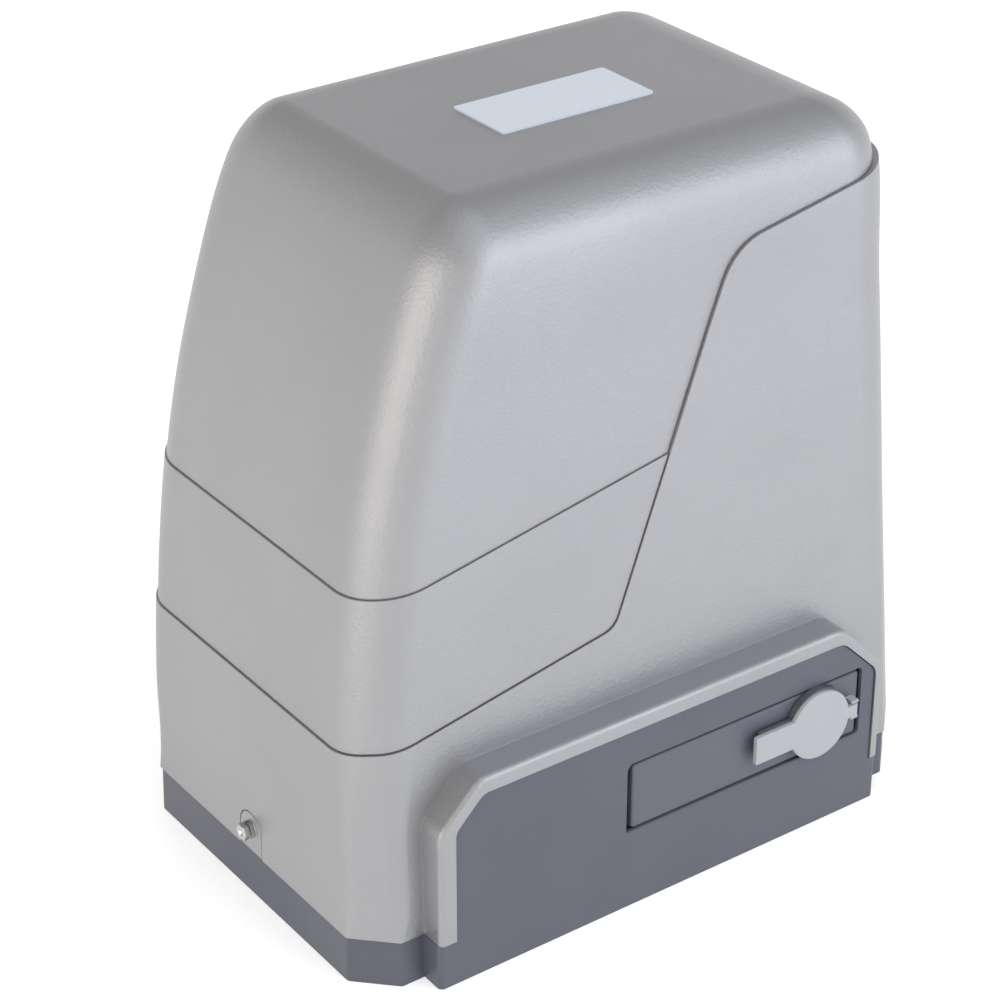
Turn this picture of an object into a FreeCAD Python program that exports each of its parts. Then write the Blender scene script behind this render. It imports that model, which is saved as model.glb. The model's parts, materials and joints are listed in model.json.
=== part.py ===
"""Sliding gate motor: a lift-off hood over a worm gear motor on a cast base.

Frame: +Z up, X along the gate, the release lever on the -Y side and the output pinion on the +Y side.
The origin is the centre of the base's mounting face.  All sizes are millimetres and degrees.
"""
import FreeCAD, Part
import math
import os
import re
import Sketcher
from FreeCAD import Placement, Rotation, Vector

DOC = FreeCAD.newDocument("sliding_gate_motor")

# name, value, what it sets
DIMENSIONS = [
    # base
    ("base_length", 302.0, "base footprint along X"),
    ("base_depth", 187.0, "base footprint along Y, without the front panel"),
    ("strip_height", 22.4, "height of the plinth strip below the cover"),
    ("strip_inset", 0.6, "how much the strip draws in from foot to top"),
    ("corner_cut", 16.5, "chamfer of the vertical corners"),
    ("base_wall", 4.0, "wall of the base tray"),
    ("floor_thick", 5.0, "floor of the base tray"),
    ("slot_x", 122.0, "fixing slots from the centre along X"),
    ("slot_y", 66.0, "fixing slots from the centre along Y"),
    ("slot_width", 11.0, "width of a fixing slot"),
    ("slot_travel", 14.0, "adjustment of a fixing slot"),
    ("pad_height", 4.0, "raised pad round a fixing slot"),
    ("cable_x", 84.0, "cable entry along X"),
    ("cable_y", -48.0, "cable entry along Y"),
    ("cable_hole", 26.0, "cable entry diameter"),
    # cover
    ("cover_top", 334.0, "top of the cover"),
    ("cover_gap", 0.4, "gap between the strip and the cover"),
    ("cover_wall", 3.0, "wall of the cover"),
    ("crown_radius", 26.0, "rounding between walls and top"),
    ("cover_proud", 0.3, "how far the cover's foot stands out past the base"),
    ("lean_left", 53.3, "how far the left wall curves in at the top"),
    ("lean_power", 2.4, "how late the left wall curves in"),
    ("lean_start", 58.0, "height where the left wall starts to curve in"),
    ("lean_right", 24.4, "how far the right wall leans in at the top"),
    ("hood_right", 1.6, "how much more the upper hood leans in on the right"),
    ("crown_left", 0.6, "width of the crown's rounding on the left, as a share of its height"),
    ("crown_right", 1.2, "width of the crown's rounding on the right, as a share of its height"),
    ("lean_front", 8.0, "how far the front wall leans in at the top"),
    ("lean_back", 6.8, "how far the back wall leans in at the top"),
    ("tier_step", 1.5, "upper hood set back from the side panel"),
    ("band_step", 0.8, "middle band set back from the lower band"),
    ("groove_width", 0.5, "shadow groove along each tier"),
    ("groove_depth", 0.5, "depth of the shadow groove"),
    ("tier_slope", 10.1, "slope of the tier lines"),
    ("low_line", 138.6, "height of the lower tier line at X 0"),
    ("mid_line", 206.4, "height of the middle tier line at X 0"),
    ("top_line", 284.4, "height of the upper tier line at X 0"),
    ("rise_x", -22.8, "where the lower tier line turns up"),
    ("rise_slope", 69.0, "slope of the rising line"),
    # arch and release panel
    ("arch_left", -123.2, "left side of the arch"),
    ("arch_right", 119.3, "right side of the arch"),
    ("arch_top", 99.5, "top of the arch"),
    ("cut_left", 20.5, "left corner cut of the arch"),
    ("cut_right", 26.0, "right corner cut of the arch"),
    ("rim_left", 8.0, "width of the arch rim on the left"),
    ("rim_top", 7.8, "width of the arch rim at the top"),
    ("rim_right", 4.6, "width of the arch rim on the right"),
    ("arch_reach", 12.7, "how far the arch stands out from the base"),
    ("panel_setback", 0.9, "release panel behind the rim"),
    ("panel_gap", 0.5, "gap between the panel and the rim"),
    ("panel_depth", 27.0, "depth of the panel box"),
    ("panel_back", 3.5, "wall behind the lever's pocket"),
    # release lever
    ("output_x", -17.5, "output shaft axis along X, and the lever pivot"),
    ("output_z", 56.7, "output shaft axis above the mounting face"),
    ("lever_height", 33.5, "release lever height"),
    ("lever_length", 131.0, "release lever length"),
    ("lever_gap", 1.2, "gap round the lever"),
    ("lever_thick", 11.0, "lever thickness"),
    ("lever_setback", 0.8, "lever face behind the panel"),
    ("pivot_inset", 8.0, "pivot axis from the lever's face and from its end"),
    ("pivot_pin", 6.0, "pivot pin diameter"),
    ("panel_skin", 2.2, "panel thickness round the lever"),
    ("release_stroke", 6.0, "travel of the release rod"),
    ("lock_x", 79.0, "lock axis along X"),
    ("lock_barrel", 22.0, "lock barrel diameter"),
    ("lock_plug", 12.0, "lock plug diameter"),
    ("cap_disc", 33.5, "lock cap diameter"),
    ("cap_thick", 2.2, "lock cap thickness"),
    ("cap_standoff", 3.4, "lock cap off the lever's face"),
    # cover screws
    ("screw_y", -2.0, "cover screws from the centre along Y"),
    ("screw_z", 34.5, "cover screw height"),
    ("screw_size", 5.0, "cover screw thread"),
    ("screw_pad", 8.8, "radius of the recess round a cover screw"),
    ("pad_recess", 1.4, "depth of that recess"),
    # gear train
    ("gear_module", 4.0, "output pinion module"),
    ("gear_teeth", 16.0, "output pinion teeth"),
    ("gear_width", 28.0, "output pinion face width"),
    ("shaft_size", 25.0, "output shaft diameter"),
    ("worm_module", 2.0, "worm module"),
    ("wheel_teeth", 30.0, "worm wheel teeth"),
    ("worm_size", 22.0, "worm pitch diameter"),
    ("wheel_width", 16.0, "worm wheel face width"),
    ("mesh_play", 0.2, "play on each worm flank"),
    ("bearing_outer", 52.0, "output bearing outside diameter"),
    ("bearing_width", 15.0, "output bearing width"),
    ("rod_size", 8.0, "release rod diameter"),
    ("run_fit", 0.1, "radial clearance of running fits"),
    ("moving_gap", 0.4, "clearance between pieces that move past each other"),
    # motor
    ("motor_size", 112.0, "stator outside diameter"),
    ("motor_stack", 62.0, "stator stack height"),
    ("air_gap", 0.5, "air gap"),
    ("rotor_shaft", 15.0, "rotor shaft diameter"),
    ("small_bearing", 35.0, "rotor bearing outside diameter"),
    ("small_bearing_width", 11.0, "rotor bearing width"),
    ("flange_z", 104.0, "top of the gearbox flange"),
    # electrics
    ("board_length", 122.0, "control board along Y"),
    ("board_height", 104.0, "control board along Z"),
    ("board_x", -84.0, "control board position along X"),
    ("board_z", 112.0, "lower edge of the control board"),
    ("board_thick", 1.6, "control board thickness"),
]

SHEET = DOC.addObject("Spreadsheet::Sheet", "dims")
for row, (alias, value, note) in enumerate(DIMENSIONS, 1):
    SHEET.set("A%d" % row, alias)
    SHEET.set("B%d" % row, str(value))
    SHEET.set("C%d" % row, note)
    SHEET.setAlias("B%d" % row, alias)
DOC.recompute()

FUNCTIONS = {"sin", "cos", "tan", "sqrt", "abs", "atan"}
NODES = {}


def bound(text):
    """Turn a formula in sheet names into one that a document object can be bound to."""
    return re.sub(r"[a-z_]+", lambda m: m[0] if m[0] in FUNCTIONS else "dims." + m[0], str(text))


def num(text):
    """Value of a formula in sheet names."""
    return float(SHEET.evalExpression(bound(text)))


# places that several pieces share, as formulas in sheet names
COVER_FOOT = "(strip_height + cover_gap)"
ARCH_FACE = "(-base_depth / 2 - arch_reach)"
PANEL_FACE = "(-base_depth / 2 - arch_reach + panel_setback)"
LEVER_FACE = "(-base_depth / 2 - arch_reach + panel_setback + lever_setback)"
PIVOT_Y = "(-base_depth / 2 - arch_reach + panel_setback + lever_setback + pivot_inset)"
POCKET_BACK = "(-base_depth / 2 - arch_reach + panel_setback + panel_depth - panel_back)"
LEVER_LEFT = "(output_x - pivot_inset)"
LEVER_LOW = "(output_z - lever_height / 2)"
WORM_X = "(output_x + (worm_size + worm_module * wheel_teeth) / 2)"
WHEEL_RADIUS = "(worm_module * wheel_teeth / 2)"
CHAMBER = "(worm_module * wheel_teeth / 2 + 5)"
SIDE_WALL = "(base_length / 2 + cover_proud)"
ROTOR_RADIUS = "(motor_size * 0.272)"
WINDING_RADIUS = "(motor_size * 0.41)"
STACK_LOW = "(flange_z + 22)"
STACK_TOP = "(flange_z + 22 + motor_stack)"


# ---------------------------------------------------------------- document helpers
AXES = {
    "x": Rotation(Vector(0, 1, 0), 90),
    "y": Rotation(Vector(1, 0, 0), -90),
    "z": Rotation(),
}


def place(obj, at, axis="z"):
    """Bind an object's position to three formulas and point its own Z along an axis."""
    obj.Placement = Placement(Vector(*[num(v) for v in at]), AXES[axis])
    for letter, formula in zip("xyz", at):
        obj.setExpression("Placement.Base." + letter, bound(formula))
    return obj


def block(size, at):
    """Box with a corner at `at`."""
    obj = DOC.addObject("Part::Box", "Box")
    for prop, formula in zip(("Length", "Width", "Height"), size):
        obj.setExpression(prop, bound(formula))
    return place(obj, at)


def rod(radius, height, at, axis="z"):
    """Cylinder from `at` along an axis."""
    obj = DOC.addObject("Part::Cylinder", "Cylinder")
    obj.setExpression("Radius", bound(radius))
    obj.setExpression("Height", bound(height))
    return place(obj, at, axis)


def joined(*items):
    """Union of document objects."""
    obj = DOC.addObject("Part::MultiFuse", "Fusion")
    obj.Shapes = list(items)
    return obj


def group(*items):
    """Separate solids kept in one node."""
    obj = DOC.addObject("Part::Compound", "Group")
    obj.Links = list(items)
    return obj


def without(base, *tools):
    """Difference of document objects, one tool after another."""
    for tool in tools:
        obj = DOC.addObject("Part::Cut", "Cut")
        obj.Base = base
        obj.Tool = tool
        base = obj
    return base


def rounded(base, radius, choose):
    """Fillet the edges of an object that `choose` picks by their middle and direction."""
    DOC.recompute()
    picked = []
    for index, edge in enumerate(base.Shape.Edges, 1):
        middle = edge.valueAt((edge.FirstParameter + edge.LastParameter) / 2)
        along = edge.tangentAt((edge.FirstParameter + edge.LastParameter) / 2)
        if choose(middle, along):
            picked.append((index, radius, radius))
    obj = DOC.addObject("Part::Fillet", "Rounded")
    obj.Base = base
    obj.Edges = picked
    return obj


def own_shape(shape):
    """Document object for a shape made by the Part functions."""
    obj = DOC.addObject("Part::Feature", "Shape")
    obj.Shape = shape
    return obj


def node(name, obj):
    """Name the finished sub-part."""
    obj.Label = name
    NODES[name] = obj
    return obj


def plane_of(body, role):
    """One of a body's own origin planes."""
    return next(f for f in body.Origin.OriginFeatures if f.Role == role)


def sketch_on(body, role, outline, circles=()):
    """Sketch with a closed outline of formula points and with (x, y, radius) circles."""
    sketch = body.newObject("Sketcher::SketchObject", "Sketch")
    sketch.AttachmentSupport = [(plane_of(body, role), "")]
    sketch.MapMode = "FlatFace"
    points = [Vector(num(x), num(y), 0) for x, y in outline]
    count = len(points)
    for index in range(count):
        sketch.addGeometry(Part.LineSegment(points[index], points[(index + 1) % count]))
    for index in range(count):
        sketch.addConstraint(Sketcher.Constraint("Coincident", index, 2, (index + 1) % count, 1))
    for index, (x, y) in enumerate(outline):
        for kind, formula in (("DistanceX", x), ("DistanceY", y)):
            where = sketch.addConstraint(Sketcher.Constraint(kind, -1, 1, index, 1, num(formula)))
            sketch.setExpression("Constraints[%d]" % where, bound(formula))
    for x, y, radius in circles:
        centre = Vector(num(x), num(y), 0)
        ring = sketch.addGeometry(Part.Circle(centre, Vector(0, 0, 1), num(radius)))
        for kind, formula in (("DistanceX", x), ("DistanceY", y)):
            where = sketch.addConstraint(Sketcher.Constraint(kind, -1, 1, ring, 3, num(formula)))
            sketch.setExpression("Constraints[%d]" % where, bound(formula))
        where = sketch.addConstraint(Sketcher.Constraint("Radius", ring, num(radius)))
        sketch.setExpression("Constraints[%d]" % where, bound(radius))
    return sketch


def padded(outline, height, at, axis="z", circles=(), taper=None):
    """Body padded from an outline in its own XY plane."""
    body = DOC.addObject("PartDesign::Body", "Body")
    sketch = sketch_on(body, "XY_Plane", outline, circles)
    pad = body.newObject("PartDesign::Pad", "Pad")
    pad.Profile = sketch
    pad.setExpression("Length", bound(height))
    if taper:
        pad.setExpression("TaperAngle", bound(taper))
    sketch.Visibility = False
    return place(body, at, axis)


def turned(outline, at, axis="z"):
    """Body revolved from an outline of (radius, height) points about its own Z axis."""
    body = DOC.addObject("PartDesign::Body", "Body")
    sketch = sketch_on(body, "XZ_Plane", outline)
    turn = body.newObject("PartDesign::Revolution", "Revolution")
    turn.Profile = sketch
    turn.ReferenceAxis = (sketch, ["V_Axis"])
    turn.Angle = 360.0
    sketch.Visibility = False
    return place(body, at, axis)


# ---------------------------------------------------------------- outline helpers
def rounded_wire(points, radii):
    """Closed wire through points, each corner rounded by its own radius (0 keeps it sharp)."""
    edges = []
    count = len(points)
    ends = []
    for index, radius in enumerate(radii):
        corner = points[index]
        before = (points[index - 1] - corner).normalize()
        after = (points[(index + 1) % count] - corner).normalize()
        if radius <= 0:
            ends.append((corner, corner, None))
            continue
        half = before.getAngle(after) / 2
        reach = radius / math.tan(half)
        centre = corner + (before + after).normalize() * (radius / math.sin(half))
        middle = centre + (corner - centre).normalize() * radius
        ends.append((corner + before * reach, corner + after * reach, middle))
    for index, (start, finish, middle) in enumerate(ends):
        if middle is not None:
            edges.append(Part.Arc(start, middle, finish).toShape())
        following = ends[(index + 1) % count][0]
        if (following - finish).Length > 1e-6:
            edges.append(Part.LineSegment(finish, following).toShape())
    return Part.Wire(edges)


def in_front_plane(points, y):
    """Points of the XZ plane as vectors at depth y."""
    return [Vector(x, y, z) for x, z in points]


def slab(points, radii, y_from, y_to):
    """Solid that runs along Y from a rounded outline in the XZ plane."""
    wire = rounded_wire(in_front_plane(points, y_from), radii)
    return Part.Face(wire).extrude(Vector(0, y_to - y_from, 0))


# ---------------------------------------------------------------- cover
def hood_corners(z, inset, left_inset, height_inset, more_right):
    """Corner points of the hood's octagon at a height, with its corner cut and how far the crown draws it in."""
    foot = num(COVER_FOOT)
    height = num("cover_top") - foot
    top = num("cover_top") - height_inset
    crown = num("crown_radius") - height_inset
    rise = (z - foot) / height
    curve = max(0.0, (z - num("lean_start")) / (num("cover_top") - num("lean_start")))
    lift = min(1.0, max(0.0, (z - (top - crown)) / crown))
    shrink = crown * (1 - math.sqrt(1 - lift * lift))
    half_length = num(SIDE_WALL)
    half_depth = num("base_depth / 2 + cover_proud")
    left = -half_length + num("lean_left") * curve ** num("lean_power") + left_inset
    left += num("crown_left") * shrink
    right = half_length - (num("lean_right") + more_right) * rise - inset - num("crown_right") * shrink
    front = -half_depth + num("lean_front") * rise + inset + shrink
    back = half_depth - num("lean_back") * rise - inset - shrink
    pull = inset + shrink
    cut = max(0.6, num("corner_cut") - (2 - math.sqrt(2)) * pull)
    points = [
        Vector(left, front + cut, z),
        Vector(left + cut, front, z),
        Vector(right - cut, front, z),
        Vector(right, front + cut, z),
        Vector(right, back - cut, z),
        Vector(right - cut, back, z),
        Vector(left + cut, back, z),
        Vector(left, back - cut, z),
    ]
    return points, cut, pull


def hood_section(z, inset, left_inset, height_inset, more_right):
    """Cross-section of the hood at a height: chamfered corners at the foot that turn round further up."""
    points, cut, pull = hood_corners(z, inset, left_inset, height_inset, more_right)
    foot = num(COVER_FOOT)
    fullest = 0.94 / math.sqrt(2) / math.tan(math.pi / 8)
    softness = min(1.0, max(0.0, (z - foot) / (num("low_line") - foot)))
    sharpest = 2.0
    radius = sharpest + (fullest * num("corner_cut") - sharpest) * softness
    radius = min(max(0.4, radius - pull), fullest * cut)
    return rounded_wire(points, [radius] * 8)


def hood_solid(inset, left_inset, height_inset=0.0, more_right=0.0):
    """Lofted solid of the hood's form, drawn in by an inset from the outer skin."""
    foot = num(COVER_FOOT)
    shoulder = num("cover_top - crown_radius")
    heights = [foot + (shoulder - foot) * k / 7 for k in range(8)]
    crown = num("crown_radius") - height_inset
    heights += [shoulder + crown * math.sin(math.radians(a)) for a in (18, 36, 54, 72, 90)]
    sections = [hood_section(z, inset, left_inset, height_inset, more_right) for z in heights]
    return Part.makeLoft(sections, True, False)


def cavity_solid():
    """Flat-sided hollow inside the cover, at least a wall's thickness from its skin."""
    wall = num("cover_wall")
    foot = num(COVER_FOOT)
    shoulder = num("cover_top - crown_radius")
    crown = num("crown_radius") - wall
    inset = num("tier_step") + wall
    heights = [foot - 2.0] + [foot + (shoulder - foot) * k / 6 for k in range(1, 7)]
    heights += [shoulder + crown * math.sin(math.radians(a)) for a in (30, 60, 90)]
    sections = []
    for z in heights:
        points, cut, _ = hood_corners(z, inset, inset, wall, num("hood_right"))
        trim = 4.0
        moves = [(0, trim), (trim, 0), (-trim, 0), (0, trim), (0, -trim), (-trim, 0), (trim, 0), (0, -trim)]
        points = [point + Vector(dx, dy, 0) for point, (dx, dy) in zip(points, moves)]
        sections.append(Part.makePolygon(points + points[:1]))
    return Part.makeLoft(sections, True, True)


def tier_lines(lift=0.0):
    """Corner points of the tier boundaries in the XZ plane; `lift` moves them outward."""
    slope = math.tan(math.radians(num("tier_slope")))
    climb = math.tan(math.radians(num("rise_slope")))
    up = lift / math.cos(math.radians(num("tier_slope")))
    side = lift / math.sin(math.radians(num("rise_slope")))
    low, mid, top = num("low_line") + up, num("mid_line") + up, num("top_line") + up
    corner_z = num("low_line") + slope * num("rise_x")

    def rise_at(z):
        return num("rise_x") - side + (z - corner_z) / climb

    def meeting(level):
        # the rising line x = a + z / climb meets z = level + slope * x
        a = rise_at(0.0)
        z = (level + slope * a) / (1 - slope / climb)
        return a + z / climb, z

    reach = num("base_length")
    return {
        "low_end": (-reach, low - slope * reach),
        "low_corner": meeting(low),
        "mid_end": (-reach, mid - slope * reach),
        "mid_corner": meeting(mid),
        "top_corner": meeting(top),
        "top_end": (reach, top + slope * reach),
        "foot_right": (reach, -10.0),
        "foot_left": (-reach, -10.0),
    }


def tier_slab(names, radii, lift=0.0):
    """Slab over the whole depth below the named tier corners."""
    lines = tier_lines(lift)
    depth = num("base_depth")
    return slab([lines[name] for name in names], radii, -depth, depth)


def arch_points(foot, share=0.0, gap=0.0):
    """Outline of the arch in the XZ plane, from a foot height.

    `share` 0 is the rim's outer edge and 1 its inner edge; `gap` draws the outline in a little more.
    """
    rim_left, rim_top, rim_right = [share * num(name) + gap for name in ("rim_left", "rim_top", "rim_right")]
    left = num("arch_left") + rim_left
    right = num("arch_right") - rim_right
    top = num("arch_top") - rim_top
    corner = 0.42
    cut_left = num("cut_left") - corner * (rim_left + rim_top)
    cut_right = num("cut_right") - corner * (rim_right + rim_top)
    return [
        (left, foot),
        (left, top - cut_left),
        (left + cut_left, top),
        (right - cut_right, top),
        (right, top - cut_right),
        (right, foot),
    ]


ARCH_ROUNDS = [0.0, 9.0, 9.0, 12.0, 12.0, 0.0]
WINDOW_ROUNDS = [0.0, 6.0, 6.0, 9.0, 9.0, 0.0]


def arch_frame():
    """Rim that stands out from the cover round the release panel, before it is opened."""
    foot = num(COVER_FOOT)
    face = num(ARCH_FACE)
    body = slab(arch_points(foot), ARCH_ROUNDS, face, num("-base_depth / 2 + 6"))
    front = [e for e in body.Edges if abs(e.BoundBox.YMax - face) < 0.01 and e.BoundBox.ZMax > foot + 0.5]
    return body.makeFillet(2.4, front)


def side_screw_cut(side):
    """Recess and open-ended notch in one side wall of the cover for its screw."""
    half = num("base_length") / 2 + 1.0
    outer = num(SIDE_WALL)
    y, z = num("screw_y"), num("screw_z")
    pad = num("screw_pad")
    depth = num("pad_recess")
    notch = num("screw_size / 2 + 0.5")
    cut = None
    for radius, start in ((pad, outer - depth), (notch, outer - 8.0)):
        hole = Part.makeCylinder(radius, half - start, Vector(side * start, y, z), Vector(side, 0, 0))
        low = min(side * start, side * half)
        leg = Part.makeBox(half - start, 2 * radius, z + 1, Vector(low, y - radius, -1))
        cut = hole.fuse(leg) if cut is None else cut.fuse([hole, leg])
    return cut


def make_cover():
    """Cover shell: core, three tiers, arch, cavity and openings."""
    step = num("tier_step")
    band = num("band_step")
    groove = num("groove_width")
    deep = num("groove_depth")
    lean = num("hood_right")
    core = hood_solid(step + deep, step + deep, deep, lean)
    hood = hood_solid(step, step, 0.0, lean)
    middle = hood_solid(band, band)
    outer = hood_solid(0.0, 0.0)
    above = tier_slab(("mid_end", "mid_corner", "top_corner", "top_end", "foot_right", "foot_left"),
                      [0, 0, 25, 0, 0, 0], groove)
    band_cut = tier_slab(("mid_end", "mid_corner", "low_corner", "low_end"), [0, 0, 0, 0])
    below = tier_slab(("low_end", "low_corner", "top_corner", "top_end", "foot_right", "foot_left"),
                      [0, 10, 25, 0, 0, 0])
    below_wide = tier_slab(("low_end", "low_corner", "top_corner", "top_end", "foot_right", "foot_left"),
                           [0, 10, 25, 0, 0, 0], groove)
    upper = hood.cut(above)
    belt = middle.common(band_cut).cut(below_wide)
    lower = outer.common(below)
    shell = core.fuse([upper, belt, lower, arch_frame()])
    window = slab(arch_points(-5.0, 1.0), WINDOW_ROUNDS, num(ARCH_FACE) - 5.0, num("-base_depth / 2 + 25"))
    notch_half = num("gear_module * gear_teeth / 2 + 12")
    notch_top = num("output_z + gear_module * gear_teeth / 2 + 12")
    x = num("output_x")
    notch = slab([(x - notch_half, 0.0), (x - notch_half, notch_top), (x + notch_half, notch_top),
                  (x + notch_half, 0.0)], [0, 14, 14, 0], num("base_depth / 2 - 25"), num("base_depth"))
    shell = shell.cut([cavity_solid(), window, notch, side_screw_cut(1), side_screw_cut(-1)])
    return own_shape(shell)


def make_name_plate():
    """Bare sheet plate on the top."""
    plate = block(("77", "35", "0.8"), ("7 - 77 / 2", "-5 - 35 / 2", "cover_top"))
    return rounded(plate, 1.5, lambda m, a: abs(a.z) > 0.9)


# ---------------------------------------------------------------- base
def panel_shape():
    """Release panel box that fills the arch, with the lever pocket and the rod's guide hole."""
    low = num("strip_height") - 4.0
    face = num(PANEL_FACE)
    back = face + num("panel_depth")
    body = slab(arch_points(low, 1.0, num("panel_gap")), WINDOW_ROUNDS, face, back)
    left, right = num("arch_left"), num("arch_right")
    foot = Part.makeBox(right - left, num("panel_depth") - 4.0, num("strip_height"), Vector(left, face, 0))
    corners = [e for e in foot.Edges if abs(e.BoundBox.ZLength) > 20 and e.BoundBox.YMax < face + 1]
    foot = foot.makeFillet(2.5, corners)
    body = body.fuse(foot)
    gap = num("lever_gap")
    x_left = num(LEVER_LEFT) - gap
    length = num("lever_length") + 2 * gap
    z_low = num(LEVER_LOW) - gap
    height = num("lever_height") + 2 * gap
    skin = num("panel_skin")
    mouth = slab([(x_left, z_low), (x_left, z_low + height), (x_left + length, z_low + height),
                  (x_left + length, z_low)], [2.2] * 4, face - 1, face + skin + 0.5)
    side = num("release_stroke") + 1.0
    pocket = Part.makeBox(length + 2 * side, num(POCKET_BACK) - face - skin, height,
                          Vector(x_left - side, face + skin, z_low))
    guide = Part.makeCylinder(num("rod_size / 2 + run_fit"), 20,
                              Vector(num("output_x"), num(POCKET_BACK) - 10, num("output_z")), Vector(0, 1, 0))
    pin = Part.makeCylinder(num("pivot_pin") / 2 + 0.02, height + 8,
                            Vector(num("output_x"), num(PIVOT_Y), z_low - 4))
    return body.cut([mouth, pocket, guide, pin])


def octagon(inset, cut):
    """Corner points of the base outline as formulas."""
    x = "(base_length / 2 - %s)" % inset
    y = "(base_depth / 2 - %s)" % inset
    return [
        ("-" + x + " + " + cut, "-" + y),
        (x + " - " + cut, "-" + y),
        (x, "-" + y + " + " + cut),
        (x, y + " - " + cut),
        (x + " - " + cut, y),
        ("-" + x + " + " + cut, y),
        ("-" + x, y + " - " + cut),
        ("-" + x, "-" + y + " + " + cut),
    ]


def side_lug(side):
    """Upright tab of the base that takes one cover screw."""
    lean = "(lean_right + hood_right) * (screw_z + 12 - strip_height) / (cover_top - strip_height)"
    wall = "(%s - tier_step - cover_wall - moving_gap - %s)" % (SIDE_WALL, lean)
    inner = "%d * (%s - 3)" % (side, wall)
    lug = joined(
        block(("6", "24", "screw_z - 2"), (inner + " - 3", "screw_y - 12", "2")),
        rod("12", "6", (inner + " - 3", "screw_y", "screw_z"), "x"),
        block(("8", "4", "screw_z - 6"), (inner + " - %d" % (3 if side < 0 else 5), "screw_y - 2", "2")),
    )
    hole = rod("screw_size / 2 + 0.05", "20", (inner + " - 10", "screw_y", "screw_z"), "x")
    return without(lug, hole)


def make_base():
    """Cast tray with plinth strip, fixing pads, bosses, screw lugs and release panel."""
    outer = padded(octagon("0", "corner_cut"), "strip_height", ("0", "0", "0"),
                   taper="-atan(strip_inset / strip_height)")
    outer = rounded(outer, 2.5, lambda middle, along: abs(along.z) > 0.9)
    inner = padded(octagon("(strip_inset + base_wall)", "(corner_cut - 2)"), "strip_height",
                   ("0", "0", "floor_thick"))
    tray = without(outer, inner)
    raised = [tray, own_shape(panel_shape()), side_lug(1), side_lug(-1)]
    holes = []
    for sx in (-1, 1):
        for sy in (-1, 1):
            x, y = "%d * slot_x" % sx, "%d * slot_y" % sy
            raised.append(joined(
                rod("slot_width", "floor_thick + pad_height", (x + " - slot_travel / 2", y, "0")),
                rod("slot_width", "floor_thick + pad_height", (x + " + slot_travel / 2", y, "0")),
                block(("slot_travel", "2 * slot_width", "floor_thick + pad_height"),
                      (x + " - slot_travel / 2", y + " - slot_width", "0")),
            ))
            holes.append(joined(
                rod("slot_width / 2", "40", (x + " - slot_travel / 2", y, "-5")),
                rod("slot_width / 2", "40", (x + " + slot_travel / 2", y, "-5")),
                block(("slot_travel", "slot_width", "40"), (x + " - slot_travel / 2", y + " - slot_width / 2", "-5")),
            ))
            levels = (x, "%d * (slot_y - 24)" % sy)
            raised.append(rod("7", "floor_thick + 5", (levels[0], levels[1], "0")))
            holes.append(rod("4.05", "40", (levels[0], levels[1], "-5")))
    for x, y in gearbox_feet():
        raised.append(rod("8", "14", (x, y, "0")))
        holes.append(rod("3.05", "10", (x, y, "5")))
    for sy in (-1, 1):
        raised.append(block(("16", "14", "14"), ("board_x - 13", "%d * (board_length / 2 - 12) - 7" % sy, "0")))
        holes.append(rod("1.55", "12", ("board_x - 7", "%d * (board_length / 2 - 12)" % sy, "5")))
    collar = rod("cable_hole / 2 + 4", "floor_thick + 2", ("cable_x", "cable_y", "0"))
    raised.append(collar)
    holes.append(rod("cable_hole / 2", "40", ("cable_x", "cable_y", "-5")))
    return without(joined(*raised), *holes)


# ---------------------------------------------------------------- release lever and lock
def cam_wire(z):
    """Cam on the lever's hub that pushes the release rod in proportion to the lever's turn."""
    stroke = num("release_stroke")
    base = num("pivot_inset") + 0.5
    x, y = num("output_x"), num(PIVOT_Y)
    rise = []
    for degrees in range(70, 201, 10):
        radius = base + stroke * min(1.0, (degrees - 90) / 90)
        rise.append(Vector(x + radius * math.cos(math.radians(degrees)),
                           y + radius * math.sin(math.radians(degrees)), z))
    tail = Vector(x, y - 3.0, z)
    curve = Part.BSplineCurve()
    curve.interpolate(rise[:13])
    edges = [curve.toShape(), Part.LineSegment(rise[12], tail).toShape(),
             Part.LineSegment(tail, rise[0]).toShape()]
    return Part.Wire(edges)


def make_lever():
    """Release lever: shallow bar with a hub and cam at its left end and the lock's seat at its right."""
    face, length, height = num(LEVER_FACE), num("lever_length"), num("lever_height")
    left, low = num(LEVER_LEFT), num(LEVER_LOW)
    thick = num("lever_thick")
    bar = slab([(left, low), (left, low + height), (left + length, low + height), (left + length, low)],
               [1.8] * 4, face, face + thick)
    rim = [e for e in bar.Edges if e.BoundBox.YMax < face + 0.01]
    bar = bar.makeFillet(1.3, rim)
    nose = [e for e in bar.Edges if e.BoundBox.YMin > face + thick - 0.01 and e.BoundBox.XMax < left + 0.1]
    bar = bar.makeFillet(2.5, nose)
    x, y, z = num("output_x"), num(PIVOT_Y), num("output_z")
    hub = Part.makeCylinder(num("pivot_inset"), height - 2, Vector(x, y, low + 1))
    cam = Part.Face(cam_wire(z - 6)).extrude(Vector(0, 0, 12))
    bar = bar.fuse([hub, cam])
    bore = Part.makeCylinder(num("pivot_pin / 2 + run_fit"), height + 2, Vector(x, y, low - 1))
    seat = Part.makeCylinder(num("lock_barrel / 2 + 0.02"), 40, Vector(num("lock_x"), face - 5, z), Vector(0, 1, 0))
    grip = Part.makeBox(30, 4.5, height - 12, Vector(num("lock_x") - 62, face + thick - 4.5, low + 6))
    hollow = Part.makeBox(26, 6.0, height - 8, Vector(x + 16, face + thick - 6.0, low + 4))
    return own_shape(bar.cut([bore, seat, grip, hollow]))


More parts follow.
